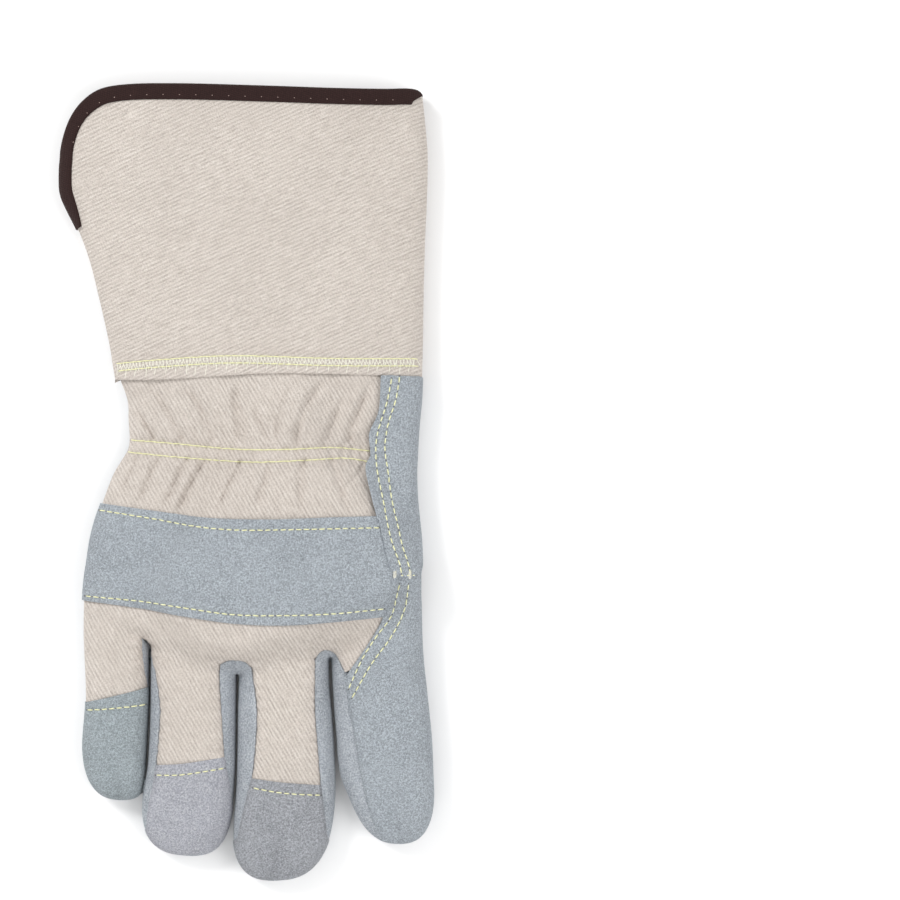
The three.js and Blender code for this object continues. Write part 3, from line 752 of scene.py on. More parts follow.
class Shade:
    """A shader socket that takes part in Python sums."""

    def __init__(self, paint: "Paint", socket: bpy.types.NodeSocket) -> None:
        """Keep the paint that the socket belongs to."""
        self.paint = paint
        self.socket = socket

    def _math(self, kind: str, *values: "Shade | float") -> "Shade":
        """Return a Math node's result."""
        return self.paint.node("ShaderNodeMath", {"operation": kind}, dict(enumerate(values)))

    def __add__(self, other: "Shade | float") -> "Shade":
        """Return the sum."""
        return self._math("ADD", self, other)

    def __sub__(self, other: "Shade | float") -> "Shade":
        """Return the difference."""
        return self._math("SUBTRACT", self, other)

    def __rsub__(self, other: float) -> "Shade":
        """Return the difference the other way round."""
        return self._math("SUBTRACT", other, self)

    def __mul__(self, other: "Shade | float") -> "Shade":
        """Return the product."""
        return self._math("MULTIPLY", self, other)

    def sine(self) -> "Shade":
        """Return the sine."""
        return self._math("SINE", self)

    def step(self, low: float, high: float) -> "Shade":
        """Return a smooth step between two values."""
        return self.paint.node("ShaderNodeMapRange", {"interpolation_type": "SMOOTHSTEP"},
                               {0: self, 1: low, 2: high, 3: 0.0, 4: 1.0})


class Paint:
    """A material whose nodes are written as Python."""

    def __init__(self, name: str) -> None:
        """Start a material with a plain principled shader."""
        self.material = bpy.data.materials.new(name)
        self.material.use_nodes = True
        self.tree = self.material.node_tree
        self.shader = self.tree.nodes["Principled BSDF"]
        coordinates = self.tree.nodes.new("ShaderNodeTexCoord")
        self.place = Shade(self, coordinates.outputs["Object"])

    def node(self, kind: str, settings: dict[str, object], values: dict[object, object],
             output: int | str = 0) -> Shade:
        """Add a node.

        Args:
            kind: The node's type.
            settings: Attributes that are set first.
            values: Values or links of its sockets, by number or name.
            output: Which output is returned.

        Returns:
            The chosen output.
        """
        made = self.tree.nodes.new(kind)
        for key, value in settings.items():
            setattr(made, key, value)
        for key, value in values.items():
            if isinstance(value, Shade):
                self.tree.links.new(value.socket, made.inputs[key])
            else:
                made.inputs[key].default_value = value
        return Shade(self, made.outputs[output])

    def noise(self, scale: float, detail: float = 3.0, rough: float = 0.6,
              place: Shade | None = None) -> Shade:
        """Return a noise value at a scale in bumps to the metre."""
        return self.node("ShaderNodeTexNoise", {}, {
            "Vector": place or self.place, "Scale": scale, "Detail": detail, "Roughness": rough})

    def mix(self, share: "Shade | float", first: object, second: object) -> Shade:
        """Return a mix of two colours."""
        return self.node("ShaderNodeMix", {"data_type": "RGBA"},
                         {0: share, 6: first, 7: second}, output=2)

    def turned(self, angle: float, stretch: tuple[float, float, float]) -> Shade:
        """Return the object's place turned about Z and stretched."""
        turned = self.node("ShaderNodeMapping", {}, {
            "Vector": self.place, "Rotation": (0.0, 0.0, math.radians(angle))})
        return self.node("ShaderNodeMapping", {}, {"Vector": turned, "Scale": stretch})

    def axis(self, vector: Shade, index: int) -> Shade:
        """Return one component of a vector."""
        return self.node("ShaderNodeSeparateXYZ", {}, {0: vector}, output=index)

    def bump(self, height: Shade, depth: float) -> None:
        """Feed a bump of a depth in metres to the shader's normal."""
        made = self.node("ShaderNodeBump", {}, {
            "Height": height, "Strength": 1.0, "Distance": depth})
        self.tree.links.new(made.socket, self.shader.inputs["Normal"])

    def set_constants(self, roughness: float, sheen: float, tint: Colour = WHITE) -> None:
        """Set the shader's constants."""
        constants = {"Roughness": roughness, "Sheen Weight": sheen, "Sheen Roughness": 0.6,
                     "Sheen Tint": tint, "Specular IOR Level": 0.25}
        for name, value in constants.items():
            self.shader.inputs[name].default_value = value

    def finish(self, colour: Shade, roughness: float, sheen: float,
               tint: Colour = WHITE) -> bpy.types.Material:
        """Connect the colour, set the constants and return the material."""
        self.tree.links.new(colour.socket, self.shader.inputs["Base Color"])
        self.set_constants(roughness, sheen, tint)
        return self.material


@dataclass(frozen=True)
class Suede:
    """Split cowhide with a fine nap and soft mottling."""

    name: str
    colour: Colour
    dark: Colour
    light: Colour

    def material(self) -> bpy.types.Material:
        """Return the suede material."""
        paint = Paint(self.name)
        clouds = paint.noise(55.0, 4.0, 0.6)
        blotch = paint.noise(190.0, 4.0, 0.65)
        nap = paint.noise(1500.0, 4.0, 0.75)
        fibre = paint.noise(3800.0, 2.0, 0.7)
        body = paint.mix((1 - clouds.step(0.3, 0.62)) * 0.34, self.colour, self.dark)
        body = paint.mix(blotch.step(0.5, 0.8) * 0.22, body, self.light)
        grain = (nap - 0.5) * 4.0 + (fibre - 0.5) * 3.2 + 0.5
        body = paint.mix((1 - grain.step(-0.1, 0.6)) * 0.85, body, self.dark)
        body = paint.mix(grain.step(0.4, 1.1) * 0.9, body, self.light)
        paint.bump(grain * 0.7 + blotch * 0.4, 0.0005)
        return paint.finish(body, 0.95, 0.12)


@dataclass(frozen=True)
class Twill:
    """Unbleached cotton twill with slanted ribs.

    Attributes:
        angle: Direction of the ribs in degrees from X.
        spacing: Distance between ribs in millimetres.
    """

    name: str
    angle: float
    spacing: float = 1.45
    colour: Colour = (0.61, 0.555, 0.505, 1.0)
    dark: Colour = (0.38, 0.335, 0.30, 1.0)
    light: Colour = (0.78, 0.74, 0.695, 1.0)

    def material(self) -> bpy.types.Material:
        """Return the twill material."""
        paint = Paint(self.name)
        run = paint.turned(-self.angle, (1.0, 1.0, 1.0))
        wander = paint.noise(160.0, 2.0, 0.5)
        across = paint.axis(run, 1) + (wander - 0.5) * 0.0007
        along = paint.axis(run, 0)
        rib = (across * (math.tau / (self.spacing * METRE))).sine()
        slub = paint.noise(1.0, 3.0, 0.6, paint.turned(-self.angle, (260.0, 1500.0, 300.0)))
        fleck = paint.noise(1.0, 2.0, 0.6, paint.turned(-self.angle, (1900.0, 2600.0, 900.0)))
        clouds = paint.noise(38.0, 3.0, 0.55)
        beads = (along * (math.tau / 0.0011) + rib * 1.3).sine()
        speck = paint.noise(2300.0, 2.0, 0.7)
        cloth = rib * 0.3 + beads * 0.12 + (slub - 0.5) * 1.7 + (fleck - 0.5) * 2.3
        body = paint.mix(cloth.step(-1.0, 0.5), self.dark, self.colour)
        body = paint.mix(cloth.step(0.1, 1.2) * 0.8, body, self.light)
        body = paint.mix((1 - speck.step(0.28, 0.42)) * 0.5, body, self.dark)
        body = paint.mix((1 - clouds.step(0.3, 0.72)) * 0.14, body, self.dark)
        paint.bump(cloth * 0.5 + 0.5, 0.00038)
        return paint.finish(body, 0.95, 0.05)


@dataclass(frozen=True)
class Tape:
    """Dark woven binding tape."""

    name: str = "binding_tape"
    colour: Colour = (0.015, 0.0055, 0.005, 1.0)
    light: Colour = (0.036, 0.015, 0.013, 1.0)

    def material(self) -> bpy.types.Material:
        """Return the tape material."""
        paint = Paint(self.name)
        run = paint.turned(35.0, (1.0, 1.0, 1.0))
        weave = (paint.axis(run, 0) * (math.tau / 0.0009)).sine()
        cross = (paint.axis(run, 1) * (math.tau / 0.0011)).sine()
        fuzz = paint.noise(1700.0, 3.0, 0.7)
        cloth = weave * cross * 0.35 + fuzz
        body = paint.mix(cloth.step(0.3, 1.0), self.colour, self.light)
        paint.bump(cloth, 0.00025)
        return paint.finish(body, 0.9, 0.05, (0.7, 0.5, 0.45, 1.0))


@dataclass(frozen=True)
class Thread:
    """Twisted sewing thread."""

    name: str
    colour: Colour
    shadow: Colour

    def material(self) -> bpy.types.Material:
        """Return the thread material."""
        paint = Paint(self.name)
        fuzz = paint.noise(2600.0, 2.0, 0.6)
        body = paint.mix(fuzz.step(0.3, 0.65), self.shadow, self.colour)
        paint.bump(fuzz, 0.0001)
        return paint.finish(body, 0.6, 0.1)


SUEDE = Suede("suede", (0.513, 0.564, 0.62, 1.0), (0.273, 0.306, 0.348, 1.0),
              (0.797, 0.867, 0.92, 1.0))
# Lighter copy of the suede for the webs: painted light that brightens their steep sides, which the
# lamps leave in shade
SUEDE_WEB_PAINTED_LIGHT = Suede("suede_painted_light", (0.60, 0.65, 0.72, 1.0), (0.32, 0.36, 0.41, 1.0),
                  (0.88, 0.92, 0.95, 1.0))
SUEDE_PINKY = Suede("suede_green_grey", (0.455, 0.519, 0.557, 1.0), (0.24, 0.285, 0.31, 1.0),
                    (0.721, 0.804, 0.842, 1.0))
SUEDE_RING = Suede("suede_lavender_grey", (0.595, 0.607, 0.683, 1.0), (0.336, 0.348, 0.405, 1.0),
                   (0.873, 0.885, 0.92, 1.0))
SUEDE_MIDDLE = Suede("suede_dark_grey", (0.468, 0.488, 0.526, 1.0), (0.235, 0.247, 0.278, 1.0),
                     (0.734, 0.752, 0.804, 1.0))
TWILL_CUFF = Twill("twill_cuff", 24.0)
TWILL_BACK = Twill("twill_back", -60.0)
THREAD = Thread("yellow_thread", (0.86, 0.86, 0.52, 1.0), (0.66, 0.65, 0.36, 1.0))
EDGE_THREAD = Thread("white_thread", (0.86, 0.85, 0.76, 1.0), (0.66, 0.64, 0.54, 1.0))
TAPE_THREAD = Thread("tape_thread", (0.42, 0.30, 0.27, 1.0), (0.25, 0.17, 0.15, 1.0))
# Dark colour of the needle holes: painted shade in the holes
HOLE_SHADE = Thread("needle_shadow", (0.14, 0.14, 0.14, 1.0), (0.08, 0.08, 0.08, 1.0))


def tube_faces(rings: int, sides: int) -> list[tuple[int, ...]]:
    """Return the side faces of a tube whose rings of places follow each other."""
    return [(i * sides + j, i * sides + (j + 1) % sides, (i + 1) * sides + (j + 1) % sides,
             (i + 1) * sides + j) for i in range(rings - 1) for j in range(sides)]


@dataclass
class StitchRow:
    """A row of stitches along a line on a surface."""

    line: Points
    height: Surface
    period: float = 3.0
    length: float = 2.35
    radius: float = THREAD_RADIUS
    raise_by: float = 0.0
    pierced: bool = True

    def lay(self, threads: MeshParts, hole_shades: MeshParts) -> None:
        """Add the threads and the painted shade of the needle holes between them."""
        line = resample(self.line, self.period)
        centres = (line[:-1] + line[1:]) / 2
        runs = line[1:] - line[:-1]
        runs = runs / np.linalg.norm(runs, axis=1)[:, None]
        rings, sides = 6, 6
        along = np.linspace(-0.5, 0.5, rings)
        turn = np.arange(sides) * math.tau / sides
        rng = np.random.default_rng(len(line))
        for centre, run in zip(centres, runs):
            normal = np.array([-run[1], run[0]])
            skew = rng.normal(0, 0.05)
            run = run + normal * skew
            reach = self.length * (1 + rng.normal(0, 0.05))
            spine = centre + np.outer(along * reach, run)
            base = self.height(spine) + self.raise_by
            bow = 0.18 - 0.5 * np.abs(along * 2) ** 3.5
            radius = self.radius * (1 - 0.25 * np.abs(along * 2) ** 2)
            verts = []
            for place, z, lift, r in zip(spine, base, bow, radius):
                for angle in turn:
                    side_step = normal * math.cos(angle) * r
                    verts.append((*(place + side_step), z + lift + math.sin(angle) * r * 0.85))
            faces = tube_faces(rings, sides)
            faces += [tuple(range(sides))[::-1],
                      tuple(range((rings - 1) * sides, rings * sides))]
            threads.add(np.array(verts), faces, flip=True)
        if self.pierced:
            self.shade_holes(line, hole_shades)

    def shade_holes(self, line: Points, hole_shades: MeshParts) -> None:
        """Add a small dark disc at each needle hole, painted shade in the hole."""
        ring = np.arange(7) * math.tau / 7
        for place, way in zip(line, headings(line)):
            across = np.array([-way[1], way[0]])
            rim = place + np.outer(np.cos(ring) * 0.34, way) + np.outer(np.sin(ring) * 0.26, across)
            points = np.vstack([rim, place[None]])
            z = self.height(points) + (self.raise_by + 0.07)
            faces = [(i, (i + 1) % 7, 7) for i in range(7)]
            hole_shades.add(np.column_stack([points, z]), faces)


def strand(threads: MeshParts, spine: Points, z: np.ndarray, radius: float) -> None:
    """Add one thin strand along places with their heights."""
    sides = 4
    verts = []
    for (x, y), (across_x, across_y), h in zip(spine, -right_of(spine), z):
        for j in range(sides):
            angle = j * math.tau / sides
            out, up = math.cos(angle) * radius, math.sin(angle) * radius
            verts.append((x + across_x * out, y + across_y * out, h + up))
    threads.add(np.array(verts), tube_faces(len(spine), sides))


def line_px(*pixels: tuple[float, float], step: float = 1.0) -> Points:
    """Return a smooth line through pixels, in millimetres."""
    return spline(PHOTO.place(pixels), step)


def joined(*lines: Points) -> Points:
    """Join lines end to end into one closed outline without doubled places."""
    places = np.vstack(lines)
    step = np.linalg.norm(places - np.roll(places, 1, axis=0), axis=1)
    return places[step > 0.05]


@dataclass
class Piece:
    """One finished piece of the glove and what it stands for.

    Attributes:
        flat: Width and length of the cut before sewing, in millimetres.
        node: CAD node that the piece replaces.
        slot: Material slot name, not used.
        rests_on: Pieces that it lies on, not used.
    """

    name: str
    node: str
    slot: str
    material: bpy.types.Material
    flat: tuple[float, float] | None = None
    rests_on: tuple[str, ...] = ()

    def dress(self, thing: bpy.types.Object) -> bpy.types.Object:
        """Give the object its material, hang it under the root and hide the CAD part that it replaces.
        """
        thing.data.materials.append(self.material)
        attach(thing, "root")
        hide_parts(self.node)
        if self.flat is not None:
            width, length = (size * METRE for size in self.flat)
        return thing


def make_sheet(piece: Piece, panels: Sequence[Panel], wall: float = LEATHER) -> bpy.types.Object:
    """Build one sheet from its panels, which meet at shared edges.

    Args:
        piece: What the sheet is.
        panels: Its stretches in plan.
        wall: Thickness in millimetres.

    Returns:
        The dressed object.
    """
    parts = MeshParts()
    for panel in panels:
        panel.add_to(parts)
    thing = parts.build(piece.name)
    area = sum(face.area for face in thing.data.polygons)
    thicken(thing, wall, weld=len(panels) > 1)
    if piece.flat is not None:
        room = piece.flat[0] * piece.flat[1] * METRE ** 2
        LOG.info("%s: cut area %.4f m2, %.2f of its flat size", piece.name, area, area / room)
    return piece.dress(thing)


class Cuff:
    """The canvas cuff with its hem, its tape binding and its side slit."""

    MOUTH = ((60, 160), (60.6, 150), (62.6, 140), (65.6, 130), (70, 119.5), (76.5, 109), (85, 100),
             (96, 92.3), (108, 88.2), (125, 86), (150, 85), (200, 85.5), (270, 87.5), (330, 89.5),
             (383, 90), (405, 89), (415, 89.5), (419.5, 91.5), (421.6, 94.5))
    CORNER_END = 160.0
    SLIT_END = 228.0
    HEM_TOP = ((116, 363.6), (160, 360), (234, 356), (334, 358.7), (418, 358.7))
    HEM_LOW = ((118, 370.8), (160, 367.2), (234, 363.2), (334, 365.9), (418.5, 365.9))
    HEM_EDGE = ((113.5, 379.6), (160, 379.8), (209, 377), (271, 373.6), (358, 374.8), (422.3, 376.8))
    BINDING = 6.0
    SLIT_BINDING = 4.9
    TAPE = 0.95
    TUCK = 1.3
    HEM_RISE = 0.9
    SLIT_GAPE = 1.4
    DOTS_IN = 4.2

    # The folded tape's section: share of its width from the edge, and lift over the cloth
    SECTION = ((1.0, 0.1), (0.985, 0.65), (0.93, 0.95), (0.75, 1.0), (0.5, 0.95), (0.25, 1.0),
               (0.07, 0.95), (-0.06, 0.3), (-0.06, -1.6), (0.07, -2.1), (0.5, -2.1), (1.0, -1.9))

    def __init__(self) -> None:
        """Work out the shared lines."""
        self.mouth = line_px(*self.MOUTH, step=1.5)
        self.hem_edge = line_px(*self.HEM_EDGE, step=1.5)
        self.slit = CUFF.silhouette(-1, self.CORNER_END, self.SLIT_END)
        self.side = CUFF.silhouette(-1, self.SLIT_END, 379.6)
        self.fold = CUFF.silhouette(1, 94.5, 376.8)

    def open_by(self, points: Points) -> np.ndarray:
        """Return how far the layers stand apart along the slit."""
        edge = CUFF.edge(points[:, 1], -1)
        along = ease(PHOTO.along(self.SLIT_END) - 2, PHOTO.along(190), points[:, 1])
        return along * np.exp(-np.maximum(points[:, 0] - edge, 0) / 9.0)

    def back(self, points: Points) -> np.ndarray:
        """Return the height of the upper layer."""
        top = line_px(*self.HEM_TOP, step=4.0)
        edge = np.interp(points[:, 0], top[:, 0], top[:, 1]) + 1.3
        band = self.HEM_RISE * (1 - ease(-0.5, 0.7, points[:, 1] - edge))
        y = points[:, 1]
        relief = 0.35 * waves(points, 46, 3) + 0.16 * waves(points, 17, 5)
        inner = ease(0, 10, np.minimum(points[:, 0] - CUFF.edge(y, -1), CUFF.edge(y, 1) - points[:, 0]))
        drop = 0.5 * np.exp(-((y - edge) / 1.5) ** 2) * (y > edge)
        return CUFF.top(points) + band + relief * inner - drop + self.SLIT_GAPE * self.open_by(points)

    def front(self, points: Points) -> np.ndarray:
        """Return the height of the lower layer."""
        y = points[:, 1]
        low = 1 - ease(PHOTO.along(280), PHOTO.along(250), y)
        beside = 1 - ease(PHOTO.across(318), PHOTO.across(370), points[:, 0])
        rim = ease(PHOTO.along(130), PHOTO.along(102), y)
        lift = np.maximum(1.5 * low * beside, 1.15 * rim)
        side = ease(0, 8, np.minimum(points[:, 0] - CUFF.edge(y, -1), CUFF.edge(y, 1) - points[:, 0]))
        return CUFF.bottom(points) + lift * side - self.SLIT_GAPE * self.open_by(points) * (1 - side)

    def canvas(self, material: bpy.types.Material) -> bpy.types.Object:
        """Build both layers of the cuff."""
        bound = joined(self.slit[::-1], self.mouth)
        inset = self.TUCK * ease(0, 9, np.arange(len(bound), dtype=float))
        bound = bound + right_of(bound) * inset[:, None]
        outline = joined(bound, self.fold, self.hem_edge[::-1], self.side[::-1])
        rows = (line_px(*self.HEM_TOP), line_px(*self.HEM_LOW))
        upper = Panel(outline, self.back, Side.BACK, free_lines=(self.hem_edge,), rows=rows)
        lower = Panel(outline, self.front, Side.FRONT)
        piece = Piece("cuff_canvas", "gauntlet_cuff", "canvas", material, (290, 116),
                      ("floor",))
        return make_sheet(piece, (upper, lower), CANVAS)

    def tape(self, material: bpy.types.Material) -> bpy.types.Object:
        """Build the tape folded over the edge of both layers."""
        parts = MeshParts()
        for side, surface in ((Side.BACK, self.back), (Side.FRONT, self.front)):
            path = resample(np.vstack([self.slit[::-1][:-1], self.mouth]), 1.3)
            self.fold_tape(parts, path, surface, side)
        thing = parts.build("cuff_tape")
        select_only(thing)
        bpy.ops.object.shade_smooth_by_angle(angle=math.radians(50))
        return Piece("cuff_tape", "cuff_binding", "binding", material).dress(thing)

    def fold_tape(self, parts: MeshParts, path: Points, surface: Surface, side: Side) -> None:
        """Sweep the folded tape's section along an edge."""
        inward = right_of(path)
        length = np.concatenate([[0], np.cumsum(np.linalg.norm(np.diff(path, axis=0), axis=1))])
        corner = ease(38, 62, length)
        width = self.SLIT_BINDING + (self.BINDING - self.SLIT_BINDING) * corner
        width *= 0.12 + 0.88 * np.sqrt(ease(-4, 15, length))
        rings = []
        for s, rise in self.SECTION:
            q = path + inward * (width * max(s, 0.012))[:, None]
            z = surface(q)
            step = 0.35
            fx = (surface(q + [step, 0]) - surface(q - [step, 0])) / (2 * step)
            fy = (surface(q + [0, step]) - surface(q - [0, step])) / (2 * step)
            normal = np.column_stack([-fx, -fy, np.ones(len(q))]) * side.value
            normal /= np.linalg.norm(normal, axis=1)[:, None]
            out = self.TAPE * rise if rise > 0 else rise
            wave = 0.05 * np.sin(length * math.tau / 3.1 + 5 * s)
            verts = np.column_stack([q, z]) + normal * out
            verts[:, :2] -= inward * (max(-s, 0) * width)[:, None]
            verts[:, 2] = np.maximum(verts[:, 2] + wave * (rise > 0), 0.02)
            rings.append(verts)
        count = len(path)
        total = len(rings)
        faces = []
        for k in range(total):
            nxt = (k + 1) % total
            for i in range(count - 1):
                faces.append((k * count + i, k * count + i + 1, nxt * count + i + 1, nxt * count + i))
        faces.append(tuple(k * count for k in range(total)))
        faces.append(tuple(k * count + count - 1 for k in range(total))[::-1])
        parts.add(np.vstack(rings), faces, flip=side is Side.FRONT)

    def stitches(self) -> list[StitchRow]:
        """Return the hem's two rows."""
        return [StitchRow(line_px(*line), self.back, period=2.7, length=2.75, radius=0.21,
                          raise_by=0.02, pierced=False) for line in (self.HEM_TOP, self.HEM_LOW)]

    def tape_row(self) -> StitchRow:
        """Return the sparse dots of thread that hold the tape."""
        path = np.vstack([self.slit[::-1][:-1], self.mouth])
        line = (path + right_of(path) * self.DOTS_IN)[22:-6]
        return StitchRow(line, self.back, period=6.4, length=0.55, radius=0.16, raise_by=0.88,
                         pierced=False)

    def overlock(self, threads: MeshParts) -> None:
        """Add the short slanting threads between the hem's rows and its edge."""
        top = resample(line_px(*self.HEM_TOP), 0.66)
        edge = line_px(*self.HEM_EDGE, step=1.0)
        rng = np.random.default_rng(11)
        for k, place in enumerate(top[1:-1]):
            low = np.interp(place[0], edge[:, 0], edge[:, 1])
            full = place[1] - low
            reach = full * (0.9 if k % 6 == 0 else 0.5) * rng.uniform(0.8, 1.05)
            lean = (1.5 if k % 2 else -0.9) + rng.normal(0, 0.35)
            share = np.linspace(0.06, 1.0, 5)
            spine = place + np.column_stack([lean * share, -reach * share])
            z = self.back(spine) + 0.02 - 0.12 * (share == 1.0)
            strand(threads, spine, z, 0.15)


class Hand:
    """The canvas back, the leather palm side and what is sewn on them."""

    STRIP = ((381.2, 375.6), (379, 410), (371.4, 428), (369, 437), (370.5, 455), (366, 470),
             (377.4, 516), (380, 522), (389, 562), (396, 574))
    STRIP_INNER = ((392, 378), (387, 403), (377, 437), (377, 467), (383.6, 500), (391, 536), (400, 562),
                   (402, 573))
    STRIP_OUTER = ((400, 376), (396, 400), (389, 421), (386, 437), (385, 450), (388, 470), (392, 499),
                   (398, 524), (403, 546), (408.5, 562), (411, 575))
    DIAGONAL = ((396.5, 578), (391, 597), (383.4, 617), (378.4, 627), (366, 647), (346, 676))
    DIAGONAL_INNER = ((400, 583), (396.5, 598), (391, 617), (376, 637), (362, 659.5), (348.6, 689))
    DIAGONAL_OUTER = ((409, 583), (404.5, 610), (391, 637), (371, 664.5), (352, 698))
    STRAP_TOP = ((99, 503), (154.5, 510.4), (209, 517), (271, 518.6), (334, 516.6), (379, 515.4))
    STRAP_TOP_ROW = ((98.5, 510), (154.5, 518.5), (189, 524.6), (234, 529), (284, 529), (381, 527))
    STRAP_LOW_ROW = ((84.6, 596), (134.6, 600), (184, 606), (234, 613), (284, 614), (334, 612.4),
                     (385, 608))
    STRAP_LOW = ((82.6, 600.5), (134.6, 607), (184, 614.7), (234, 622), (284, 624), (334, 621),
                 (384, 616.5))
    CAPS = {
        "pinky": ((83.5, 703), (110, 697), (147, 688)),
        "ring": ((155.5, 765), (184, 763), (225, 757)),
        "middle": ((251.5, 778), (284, 782), (321.5, 785)),
    }
    CAP_ROWS = {
        "pinky": ((86, 710.5), (112, 708.5), (145.5, 705)),
        "ring": ((155.5, 775), (184, 774), (225, 768)),
        "middle": ((253, 787.5), (284, 792.6), (321.5, 795)),
    }
    PINKY_EDGE = ((142.3, 639), (143.4, 660), (147, 688))
    RING_LEFT = ((146, 641), (150.5, 660), (156, 681), (159.5, 709), (158, 734), (155.5, 765))
    RING_LEFT_SEAM = ((155.5, 765), (152.5, 784), (147.5, 809), (145.5, 829))
    RING_RIGHT = ((221, 665), (220.3, 680), (222, 709), (225, 757))
    RING_RIGHT_SEAM = ((225, 757), (229.3, 784), (231.5, 806))
    WEB_RING = ((221, 665), (228, 661.5), (237, 661), (246, 662.5), (251.2, 668))
    MIDDLE_LEFT = ((251.2, 668), (256.5, 709), (255, 747), (251.5, 778))
    MIDDLE_LEFT_SEAM = ((251.5, 778), (243.5, 809), (237, 838))
    MIDDLE_RIGHT = ((316, 659.5), (316, 709), (317.5, 734), (321.5, 785))
    MIDDLE_RIGHT_SEAM = ((321.5, 785), (324.5, 812), (327, 836))
    WEB_INDEX = ((316, 659.5), (320, 653.5), (327, 651), (335, 655.5), (343, 670))
    INDEX_SEAM = ((343, 670), (349.8, 709), (356, 744), (362, 779), (371, 818), (382, 841))
    WELT = ((146, 655), (160, 650), (200, 646), (230, 644.5), (270, 645), (310, 644), (333, 648))
    OVERLAP = 0.85
    CAP_OVERLAP = 0.35
    STRAP_RISE = 1.3
    STRIP_RISE = 2.2
    PALM_RISE = 1.1
    CAP_RISE = 0.85
    PATCH_RISE = 0.75
    THREAD_SINK = 0.2
    BARTACKS = (((395.5, 573), 1.5, 2.6), ((410.5, 573.5), 1.3, 3.0))

    def __init__(self, materials: dict[str, bpy.types.Material]) -> None:
        """Keep the materials and work out the lines that pieces share."""
        self.materials = materials
        self.strip = line_px(*self.STRIP)
        self.diagonal = line_px(*self.DIAGONAL)
        self.seams = {name: line_px(*getattr(self, name)) for name in (
            "PINKY_EDGE", "RING_LEFT", "RING_LEFT_SEAM", "RING_RIGHT", "RING_RIGHT_SEAM", "WEB_RING",
            "MIDDLE_LEFT", "MIDDLE_LEFT_SEAM", "MIDDLE_RIGHT", "MIDDLE_RIGHT_SEAM", "WEB_INDEX",
            "INDEX_SEAM")}

    def cloth(self, points: Points) -> np.ndarray:
        """Return the canvas back's height with its gathers."""
        z = back_height(points)
        y = points[:, 1]
        near = ease(PHOTO.along(545), PHOTO.along(522), y)
        inner = ease(0, 7, np.minimum(points[:, 0] - HAND.edge(y, -1), HAND.edge(y, 1) - points[:, 0]))
        folds = sum(fold.height(points) for fold in GATHER_FOLDS + SMALL_FOLDS)
        soft = 0.5 * waves(points, 30, 7) + 0.25 * waves(points, 12, 9)
        calm = 0.3 * waves(points, 34, 21) + 0.1 * waves(points, 13, 22)
        away = ease(PHOTO.along(600), PHOTO.along(560), y)
        gathered = (folds + pucker(points) + soft) * near
        return z + (gathered + calm * (1 - away)) * inner + self.seam_puckers(points)

    def seam_puckers(self, points: Points) -> np.ndarray:
        """Return the small cross folds beside the finger seams."""
        away = np.full(len(points), 1e9)
        for name in ("PINKY_EDGE", "RING_LEFT", "RING_RIGHT", "MIDDLE_LEFT", "MIDDLE_RIGHT"):
            away = np.minimum(away, distance_to(points, resample(self.seams[name], 4.0)))
        ripple = np.sin(points[:, 1] * math.tau / 5.2 + 1.3 * np.sin(points[:, 1] * 0.37))
        return 0.5 * ripple * np.exp(-((away - 1.6) / 2.4) ** 2)

    def leather(self, points: Points) -> np.ndarray:
        """Return the back's height where leather covers it."""
        z = back_height(points)
        relief = 0.35 * waves(points, 33, 31) + 0.14 * waves(points, 11, 33)
        return z + relief * np.clip((z - 8.5) / 4, 0, 1)

    def overlay(self, points: Points) -> np.ndarray:
        """Return the height of leather that lies over the canvas, also round the sides."""
        return self.leather(grown(points, self.OVERLAP))

    def fingertip(self, points: Points) -> np.ndarray:
        """Return the height of the leather caps, with a little more bulge."""
        relief = 0.3 * waves(points, 20, 41) + 0.15 * waves(points, 8, 42)
        z = back_height(grown(points, self.CAP_OVERLAP))
        return z + relief * np.clip((z - 7.5) / 4, 0, 1)

    def side_cut(self, start: float, end: float) -> Points:
        """Return the left edge of the hand and little finger between pixel rows."""
        upper = HAND.silhouette(-1, start, 650)
        lower = FINGERS["pinky"].silhouette(-1, 650, end)
        return resample(np.vstack([upper, lower[1:]]), 1.5)

    def canvas(self) -> bpy.types.Object:
        """Build the canvas back, which runs on under the leather sewn to it."""
        top = line_px((118, 373), (160, 373), (209, 371), (271, 368), (358, 369), (386, 371))
        strip = self.strip + [2.2, 0]
        diagonal = self.diagonal + [1.8, -0.8]
        diagonal = diagonal[diagonal[:, 1] > PHOTO.along(668)]
        web = line_px((345, 672), (337, 657), (327, 651.5), (320, 653.5), (316, 659.5))
        middle = np.vstack([self.seams["MIDDLE_RIGHT"],
                            line_px((321.5, 791), (284, 788), (251.5, 784)),
                            self.seams["MIDDLE_LEFT"][::-1]])
        ring = np.vstack([self.seams["RING_RIGHT"],
                          line_px((224, 763), (184, 769), (156, 771)),
                          self.seams["RING_LEFT"][::-1]])
        pinky = np.vstack([self.seams["PINKY_EDGE"],
                           line_px((146.5, 694), (110, 703), (84, 709))])
        left = self.side_cut(373, 709)[::-1]
        outline = joined(top, strip, diagonal, web, middle, self.seams["WEB_RING"][::-1], ring, pinky,
                         left)
        seams = (self.seams["MIDDLE_RIGHT"], self.seams["MIDDLE_LEFT"], self.seams["RING_RIGHT"],
                 self.seams["RING_LEFT"], self.seams["PINKY_EDGE"], self.seams["WEB_RING"],
                 self.seams["WEB_INDEX"])
        rows = tuple(line_px(*row) for row in ELASTIC_ROWS)
        panel = Panel(outline, self.cloth, Side.BACK, seam_lines=seams, rows=rows,
                      groove=1.3, grid=0.75)
        piece = Piece("back_canvas", "canvas_back", "canvas", self.materials["twill_back"],
                      (145, 170), ("palm_side",))
        return make_sheet(piece, (panel,), CANVAS)

